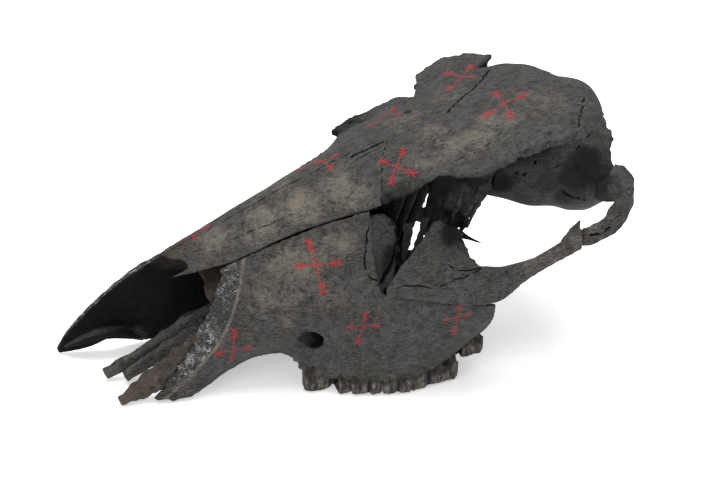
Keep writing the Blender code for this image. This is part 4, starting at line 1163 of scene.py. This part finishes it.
def cheek_teeth(side, word):
    shells = []
    for y, length, width, tip, lobes in CHEEK_TEETH:
        crown = 11.0 if tip < 1 else 9.0
        for k in range(lobes):
            middle = y + (k - (lobes - 1) / 2) * length / lobes
            span = length / lobes * (0.6 if lobes > 1 else 0.54)
            shells.append(lobe(tooth_outer_x(middle) - width / 2, middle, width, span, tip, crown, side))
        if lobes > 1:
            for share in (-0.47, 0.02, 0.47):
                at = y + length * share
                x = tooth_outer_x(at) - 0.7
                ridge = [(x - 0.3, at, tip + 13), (x + 0.1, at, tip + 7), (x - 0.8, at, tip + 0.8)]
                shells.append(bar(ridge, [2.2, 2.4, 1.6], [2.2, 2.4, 1.6], side, up=(0, 1, 0)))
    obj = fused(f"cheek_teeth_{word}", shells, 0.6)
    low = Skin(obj).co[:, 2].min()
    skin = dress(obj, [], "stained_teeth", None, swell=0.15, fine=0.2, marks=False)
    # Painted shade: the gaps between the teeth are pushed in and painted near black, and the folds between lobes a
    # little darker
    ends = [y + share * length for y, length, _, _, _ in CHEEK_TEETH for share in (-0.5, 0.5)]
    gap = np.max([1 - smooth_step(abs(skin.co[:, 1] - end + grain(skin.co, 4.0, 2) * 0.5), 0.4, 1.7) for end in ends],
                 axis=0)
    folds = [y + share * length for y, length, _, _, lobes in CHEEK_TEETH for share in (-0.25, 0.25) if lobes > 1]
    fold = np.max([1 - smooth_step(abs(skin.co[:, 1] - end), 0.2, 1.6) for end in folds], axis=0)
    skin.push(-1.1 * gap - 0.3 * fold)
    # Painted shade along the gum line, where the crowns go into the jaw
    gumline_shade = smooth_step(skin.co[:, 2] - np.interp(skin.co[:, 1], [220, 226], [7.5, 20]) + grain(skin.co, 3.0, 5) * 1.5,
                        0, 2.5)
    skin.mask("crack", np.maximum.reduce([gap, 0.45 * fold, 0.6 * gumline_shade]))
    skin.co[:, 2] = np.maximum(skin.co[:, 2], max(low, 0.0))
    skin.push(np.zeros(len(skin.co)))


def premaxilla(side, word):
    """Whole on the right. On the left only the stub of its body beside the jaw is there."""
    if side > 0:
        path = [(29, 30, 2.7), (28, 40, 7.2), (27, 50, 12), (26, 60, 18), (25, 69, 25), (24, 80, 35)]
        stub = bar(path, [4, 7, 8, 8, 7, 5], [5, 13, 16, 16, 14, 9], side, roughen=0.4)

        def worn_end(skin):
            return 0.9 * smooth_step(grain(skin.co, 4.0, 3) + (skin.co[:, 1] - 58) / 25, 0.2, 0.7)

        obj = fused("premaxilla_left_bone", [stub], 0.6)
        dress(obj, ["premaxilla_left"], "umber_bone", None, rim=worn_end,
              pale=[(29, 33, 5, 15, 0.9), (28, 46, 14, 13, 0.5)], sponge=[(28, 54, 8, 9, 0.9), (27, 66, 18, 9, 0.9)],
              gloss=[(25, 66, 28, 18, 1.0)], fine=0.5, swell=0.9, marks=False)
        return
    grid = pulled_in(patch(PREMAXILLA_RAILS, 80, 40), u1=-3.0)
    shelf = bar([(31, 7, 5.5), (27.5, 15, 11), (25, 27, 15.5), (24, 41, 14), (25, 55, 9), (23, 67, 10),
                 (18, 80, 15)], [7, 11, 13, 12, 7, 5, 4], [3.2] * 7, side)
    obj = fused("premaxilla_right_bone", [plate(grid, 3.0, to_nose_axis, side), shelf], 0.75)
    top = along(PREMAXILLA_RAILS[0], np.linspace(0, 1, 60)) * (side, 1, 1)

    def cut_edge(skin):
        near = 1 - smooth_step(line_distance(skin.co, top), 2.2, 3.6)
        return near * smooth_step(skin.normal[:, 2], -0.2, 0.3) * 0.8

    dress(obj, ["premaxilla_right"], "sooty_bone", towards_nose, rim=cut_edge,
          brown=[(-24, 76, 66, 18, 0.9)], gloss=[(-28, 40, 30, 40, 0.7)], sponge=[(-26, 50, 8, 7, 0.8)], marks=False)


def palatine_process(side, word):
    if side > 0:
        path = [(9, 36, 5.4), (8, 50, 12.5), (6.5, 66, 20.5), (6, 79, 27), (5, 92, 33)]
    else:
        path = [(-2, 25, 4.3), (-1, 45, 13), (1.5, 64, 22), (2, 79, 30), (2, 94, 38)]
    rod = bar(path, [5.5, 6, 7, 8, 8], [7, 8, 9, 9, 8], side, roughen=0.2)
    obj = fused(f"palatine_process_{word}_bone", [rod], 0.6)
    dress(obj, [f"palatine_process_{word}"], "sooty_bone", None, fine=0.25, marks=False,
          pale=[(0, 30, 5, 30, 0.3)])


# Cheek bone and arch

def zygomatic(side, word):
    middle = [tuple((np.array(a) + np.array(b)) / 2 + (1.2, 0, 0)) for a, b in zip(ARCH_TOP, ARCH_LOW)]
    shells = [plate(patch([ARCH_TOP, middle, ARCH_LOW], 90, 18), 4.2, None, side)]
    rim = [(59.5, 178, 74), (62, 194, 80), (65, 211, 84), (67.5, 228, 85.5)]
    bowl = [(58.5, 182, 79), (57, 197, 86), (55, 211, 90), (56, 226, 87)]
    inner = [(58, 186, 84), (51, 200, 95), (42.5, 210, 102), (42, 225, 94)]
    floor = patch([rim, bowl, inner], 50, 30)
    floor[:, -1, 2] += ragged(np.arange(50), 1.2, 1.7)
    floor[-1, :, 1] += ragged(np.arange(30), 2.0, 1.9) - 1.0
    shells.append(plate(floor, 2.4, None, side))
    spike_top = (70.5, 285, 108) if side > 0 else (72, 285, 108.3)
    tip = 1.2 if side > 0 else 5
    shells.append(bar([(69.5, 280, 94), (70, 282.5, 101), spike_top], [9, 7, tip], [4, 4, tip], side, up=(1, 0, 0),
                      roughen=0.2))
    obj = fused(f"zygomatic_{word}_bone", shells, 0.8)
    # The dark spots are painted shade in the hollow of the orbit floor
    dress(obj, [f"zygomatic_{word}"], "sooty_bone", None, gloss=[(66, 208, 82, 16, 0.7)],
          pale=[(70, 262, 88, 20, 0.6), (69, 285, 96, 9, 0.8)],
          dark=[(49, 218, 95, 9, 1.0), (53, 223, 90.5, 6, 1.0), (57, 227, 87, 5, 0.8)],
          dents=[(50, 219, 94, 6, 1.0)], sponge=[(55, 221, 89, 7, 0.6)])


def arch_root(side, word):
    path = [(68.4, 288.1, 95.8), (67.8, 296, 96.2), (65.5, 306, 100), (62.5, 313, 107), (59, 316.5, 114.5),
            (53.5, 315.5, 118.5), (49, 312.5, 119)]
    web = patch([[(50, 313, 121), (54, 316.5, 124), (57.5, 318, 125.4)],
                 [(48, 305, 118), (55, 311, 118), (59.5, 318, 117)],
                 [(50, 302, 109), (56, 307, 109), (61.5, 314, 112)]], 20, 20)
    web_plate = plate(web, 3.4, None, side)
    root = bar(path, [4, 5, 6, 7, 8, 10, 12], [10.5, 12.5, 13, 13.5, 14, 17, 20], side, squareness=3.4, roughen=0.22)
    obj = fused(f"arch_root_{word}_bone", [web_plate, root], 0.8)
    # The dark spots are painted shade in the fossa beside the web
    dress(obj, [f"arch_root_{word}"], "sooty_bone", None, pale=[(68, 298, 100, 14, 0.5)],
          dark=[(49, 306, 115, 9, 1.0), (54, 309, 110, 6, 0.7)])


# Inside of the nose and the back of the palate

def palatine(side, word):
    shells = [plate(palate_grid(196 + SEAM, 207, 12, 23), 3.4, straight(0, 0, 1), side)]
    top = [(20, 199, 70), (19, 214, 74), (19.5, 231, 79)]
    middle = [(23, 198, 56), (21, 213, 60), (21, 235, 66)]
    low = [(26, 198.5, 42), (24, 212, 46), (22, 231, 52)]
    shells.append(plate(patch([top, middle, low], 30, 26), 2.0, None, side))
    cutters = [bar(*WORN_HOLE, side)] if side < 0 else []
    obj = fused(f"palatine_{word}_bone", shells, 0.8, cutters)
    dress(obj, [f"palatine_{word}"], "deep_shaded_bone", None, marks=False)


def vomer():
    top = [(0, 96, 54), (0, 130, 66), (0, 165, 78), (0, 194, 88)]
    low = [(0, 88, 37), (0, 130, 42), (0, 165, 45), (0, 194, 50)]
    obj = fused("vomer_bone", [plate(patch([top, low], 70, 24), 2.4)], 0.8)
    dress(obj, ["vomer"], "deep_shaded_bone", None, marks=False, swell=0.2)


def turbinate(side, word):
    """Scroll of thin bone that hangs inside the nasal cavity from its side wall."""
    roll = [(10, 84, 60), (12, 110, 70), (15, 140, 82), (18, 166, 92)]
    belly = [(15.5, 84, 57), (23, 110, 68), (28, 140, 80), (30, 166, 90)]
    lip = [(14.5, 88, 49), (22, 110, 56), (26, 140, 66), (28, 166, 78)]
    curl = [(10, 88, 46), (14, 110, 52), (17, 140, 62), (18, 166, 74)]
    obj = fused(f"turbinate_{word}_bone", [plate(patch([roll, belly, lip, curl], 60, 40), 1.6, None, side)], 0.6)
    dress(obj, [f"turbinate_{word}"], "umber_bone", None, marks=False, swell=0.25, fine=0.2,
          pale=[(20, 98, 60, 9, 0.7)], gloss=[(24, 110, 62, 16, 0.7)])


def ethmoid(side, word):
    """Folded plates at the front of the orbit, seen where the lacrimal bone is missing."""
    shells = []
    for k in range(3):
        y = 183 + 6 * k
        top = [(12, y + 13, 112), (20, y + 15, 117), (25.5, y + 17, 118 - k)]
        low = [(11, y + 3, 84), (21, y, 80), (34, y - 1, 77 + k)]
        shells.append(plate(patch([top, low], 24, 30), 1.6, None, side))
    shells.append(bar([(13, 188, 102), (12, 202, 104), (12, 214, 104)], [3, 3, 3], [16, 15, 12], side))
    for edges in ([[(38, 192.6, 101), (38, 192.6, 90), (37, 192.6, 77)],
                   [(38, 199.6, 101), (38, 198, 90), (37, 194.8, 77)]],
                  [[(38, 204, 103), (38, 200.6, 90), (37, 197, 77)],
                   [(38, 208.4, 103), (38, 204.6, 90), (37, 200, 78)]]):
        lamina = patch(edges, 26, 8)
        lamina[:, 0, 1] += ragged(np.arange(26), 0.5, 0.9)
        lamina[:, -1, 1] += ragged(np.arange(26), 0.5, 1.1, 1.0)
        shells.append(plate(lamina, 1.5, None, side))
    obj = fused(f"ethmoid_{word}_bone", shells, 0.65)
    dress(obj, [f"ethmoid_{word}"], "deep_shaded_bone", None, marks=False, fine=0.2)


# Settings that a user may change

def colour_property(name, text, default):
    return bpy.props.FloatVectorProperty(name=name, description=text, subtype="COLOR", size=3, min=0, max=1,
                                         default=default)


class SkullColours(bpy.types.PropertyGroup):
    grey: colour_property("Sooty grey", "Colour of the blackened outer bone", (0.049, 0.0475, 0.046))
    beige: colour_property("Worn beige", "Colour where the soot has worn off", (0.165, 0.146, 0.117))
    # This near black is both sooty bone and the painted shade inside the skull, in hollows and on the deep bones
    soot_and_shade: colour_property("Soot", "Colour inside the skull", (0.0045, 0.0045, 0.0045))
    brown: colour_property("Brown", "Colour of the clean thin bone in the nose", (0.05, 0.031, 0.016))
    red: colour_property("Painted marks", "Colour of the painted staves", (0.34, 0.022, 0.026))
    rim: colour_property("Broken edge", "Colour of broken, polished edges", (0.1, 0.099, 0.097))


class StageSettings(bpy.types.PropertyGroup):
    floor: colour_property("Floor", "Colour of the floor", (0.9, 0.9, 0.9))
    key_power: bpy.props.FloatProperty(name="Key light", description="Power of the overhead light in watts",
                                       unit="POWER", min=0, default=13.0)
    fill_power: bpy.props.FloatProperty(name="Fill light", description="Power of the light beside the camera in watts",
                                        unit="POWER", min=0, default=5.0)
    lens: bpy.props.FloatProperty(name="Focal length", description="Focal length of the camera", unit="CAMERA", min=10,
                                  default=84.69)


# Operators, one for each kind of bone and one for the stage

class BuildBone:
    """What every bone's operator shares."""
    bl_options = {"REGISTER", "UNDO"}

    def execute(self, context):
        for side, word in ((1, "left"), (-1, "right")):
            self.build(side, word)
        return {"FINISHED"}


class SKULL_OT_nasals(BuildBone, bpy.types.Operator):
    """Adds the two nasal bones"""
    bl_idname = "skull.nasals"
    bl_label = "Nasals"
    build = staticmethod(nasal)


class SKULL_OT_frontals(BuildBone, bpy.types.Operator):
    """Adds the two frontal bones with their orbit walls"""
    bl_idname = "skull.frontals"
    bl_label = "Frontals"
    build = staticmethod(frontal)


class SKULL_OT_upper_jaws(BuildBone, bpy.types.Operator):
    """Adds the two upper jaws without their teeth"""
    bl_idname = "skull.upper_jaws"
    bl_label = "Upper Jaws"
    build = staticmethod(maxilla)


class SKULL_OT_cheek_teeth(BuildBone, bpy.types.Operator):
    """Adds the two rows of cheek teeth"""
    bl_idname = "skull.cheek_teeth"
    bl_label = "Cheek Teeth"
    build = staticmethod(cheek_teeth)


class SKULL_OT_premaxillae(BuildBone, bpy.types.Operator):
    """Adds the whole right premaxilla and the stub of the left one"""
    bl_idname = "skull.premaxillae"
    bl_label = "Premaxillae"
    build = staticmethod(premaxilla)


class SKULL_OT_palatine_processes(BuildBone, bpy.types.Operator):
    """Adds the two bars under the nose"""
    bl_idname = "skull.palatine_processes"
    bl_label = "Palatine Processes"
    build = staticmethod(palatine_process)


class SKULL_OT_cheekbones(BuildBone, bpy.types.Operator):
    """Adds the two cheek bones"""
    bl_idname = "skull.cheekbones"
    bl_label = "Cheek Bones"
    build = staticmethod(zygomatic)


class SKULL_OT_arch_roots(BuildBone, bpy.types.Operator):
    """Adds the back parts of the two cheek arches"""
    bl_idname = "skull.arch_roots"
    bl_label = "Arch Roots"
    build = staticmethod(arch_root)


class SKULL_OT_palatines(BuildBone, bpy.types.Operator):
    """Adds the two palatine bones"""
    bl_idname = "skull.palatines"
    bl_label = "Palatines"
    build = staticmethod(palatine)


class SKULL_OT_turbinates(BuildBone, bpy.types.Operator):
    """Adds the scrolls inside the nose"""
    bl_idname = "skull.turbinates"
    bl_label = "Turbinates"
    build = staticmethod(turbinate)


class SKULL_OT_ethmoids(BuildBone, bpy.types.Operator):
    """Adds the folded plates in front of the orbits"""
    bl_idname = "skull.ethmoids"
    bl_label = "Ethmoids"
    build = staticmethod(ethmoid)


class SKULL_OT_braincase(bpy.types.Operator):
    """Adds the braincase with its roof and the remains of its back"""
    bl_idname = "skull.braincase"
    bl_label = "Braincase"
    bl_options = {"REGISTER", "UNDO"}

    def execute(self, context):
        braincase()
        return {"FINISHED"}


class SKULL_OT_vomer(bpy.types.Operator):
    """Adds the thin bone on the midline of the nose"""
    bl_idname = "skull.vomer"
    bl_label = "Vomer"
    bl_options = {"REGISTER", "UNDO"}

    def execute(self, context):
        vomer()
        return {"FINISHED"}


class SKULL_OT_stage(bpy.types.Operator):
    """Adds the floor, the lights and the camera"""
    bl_idname = "skull.stage"
    bl_label = "Stage"
    bl_options = {"REGISTER", "UNDO"}

    def execute(self, context):
        settings = context.scene.skull_stage
        bpy.ops.object.select_all(action="DESELECT")
        bpy.ops.mesh.primitive_plane_add(size=FLOOR_SIZE, location=(0, 0, -FLOOR_DROP))
        floor = context.object
        floor.name = "floor"
        floor.data.materials.append(floor_finish(tuple(settings.floor)))
        self.light(*KEY_LIGHT, settings.key_power)
        self.light(*FILL_LIGHT, settings.fill_power)
        self.camera(settings.lens)
        world = bpy.data.worlds.new("studio")
        context.scene.world = world
        world.use_nodes = True
        background = world.node_tree.nodes["Background"].inputs
        background["Color"].default_value = (1, 1, 1, 1)
        background["Strength"].default_value = WORLD_STRENGTH
        context.scene.view_settings.view_transform = "Standard"
        return {"FINISHED"}

    def light(self, name, place, aim, size, power):
        data = bpy.data.lights.new(name, "AREA")
        data.shape = "DISK"
        data.size = size
        data.energy = power
        lamp = bpy.data.objects.new(name, data)
        bpy.context.scene.collection.objects.link(lamp)
        lamp.location = to_model(place)
        way = Vector(to_model(aim)) - lamp.location
        lamp.rotation_euler = way.to_track_quat("-Z", "Y").to_euler()

    def camera(self, lens):
        a, e, r = (math.radians(v) for v in (CAMERA_AZIMUTH, CAMERA_ELEVATION, CAMERA_ROLL))
        back = np.array([math.sin(a) * math.cos(e), -math.cos(a) * math.cos(e), math.sin(e)])
        right = np.array([math.cos(a), math.sin(a), 0])
        up = np.cross(back, right)
        right, up = math.cos(r) * right + math.sin(r) * up, math.cos(r) * up - math.sin(r) * right
        place = np.array(CAMERA_AIM) - right * CAMERA_OFFSET[0] - up * CAMERA_OFFSET[1] + back * CAMERA_DISTANCE
        data = bpy.data.cameras.new("camera")
        data.lens = lens
        data.sensor_width = SENSOR_WIDTH
        data.clip_start = NEAR_CLIP
        camera = bpy.data.objects.new("camera", data)
        bpy.context.scene.collection.objects.link(camera)
        turn = Matrix((right, up, back)).transposed().to_4x4()
        camera.matrix_world = Matrix.Translation(to_model(place)) @ turn
        bpy.context.scene.camera = camera


OPERATORS = (
    SKULL_OT_stage, SKULL_OT_nasals, SKULL_OT_frontals, SKULL_OT_upper_jaws, SKULL_OT_cheek_teeth, SKULL_OT_premaxillae,
    SKULL_OT_palatine_processes, SKULL_OT_cheekbones, SKULL_OT_arch_roots, SKULL_OT_palatines, SKULL_OT_turbinates,
    SKULL_OT_ethmoids, SKULL_OT_braincase, SKULL_OT_vomer,
)


class SKULL_PT_panel(bpy.types.Panel):
    """Lists the skull's settings and bones"""
    bl_idname = "SKULL_PT_panel"
    bl_label = "Young Elk Skull"
    bl_space_type = "VIEW_3D"
    bl_region_type = "UI"
    bl_category = "Skull"

    def draw(self, context):
        for group in (context.scene.skull_colours, context.scene.skull_stage):
            for name in group.bl_rna.properties.keys():
                if name not in ("rna_type", "name"):
                    self.layout.prop(group, name)
        for operator in OPERATORS:
            self.layout.operator(operator.bl_idname)


CLASSES = (SkullColours, StageSettings, *OPERATORS, SKULL_PT_panel)


def register():
    for cls in CLASSES:
        bpy.utils.register_class(cls)
    bpy.types.Scene.skull_colours = bpy.props.PointerProperty(type=SkullColours)
    bpy.types.Scene.skull_stage = bpy.props.PointerProperty(type=StageSettings)


def unregister():
    del bpy.types.Scene.skull_colours
    del bpy.types.Scene.skull_stage
    for cls in reversed(CLASSES):
        bpy.utils.unregister_class(cls)


def main():
    register()
    for operator in OPERATORS:
        group, name = operator.bl_idname.split(".")
        getattr(getattr(bpy.ops, group), name)()


if __name__ == "__main__":
    main()
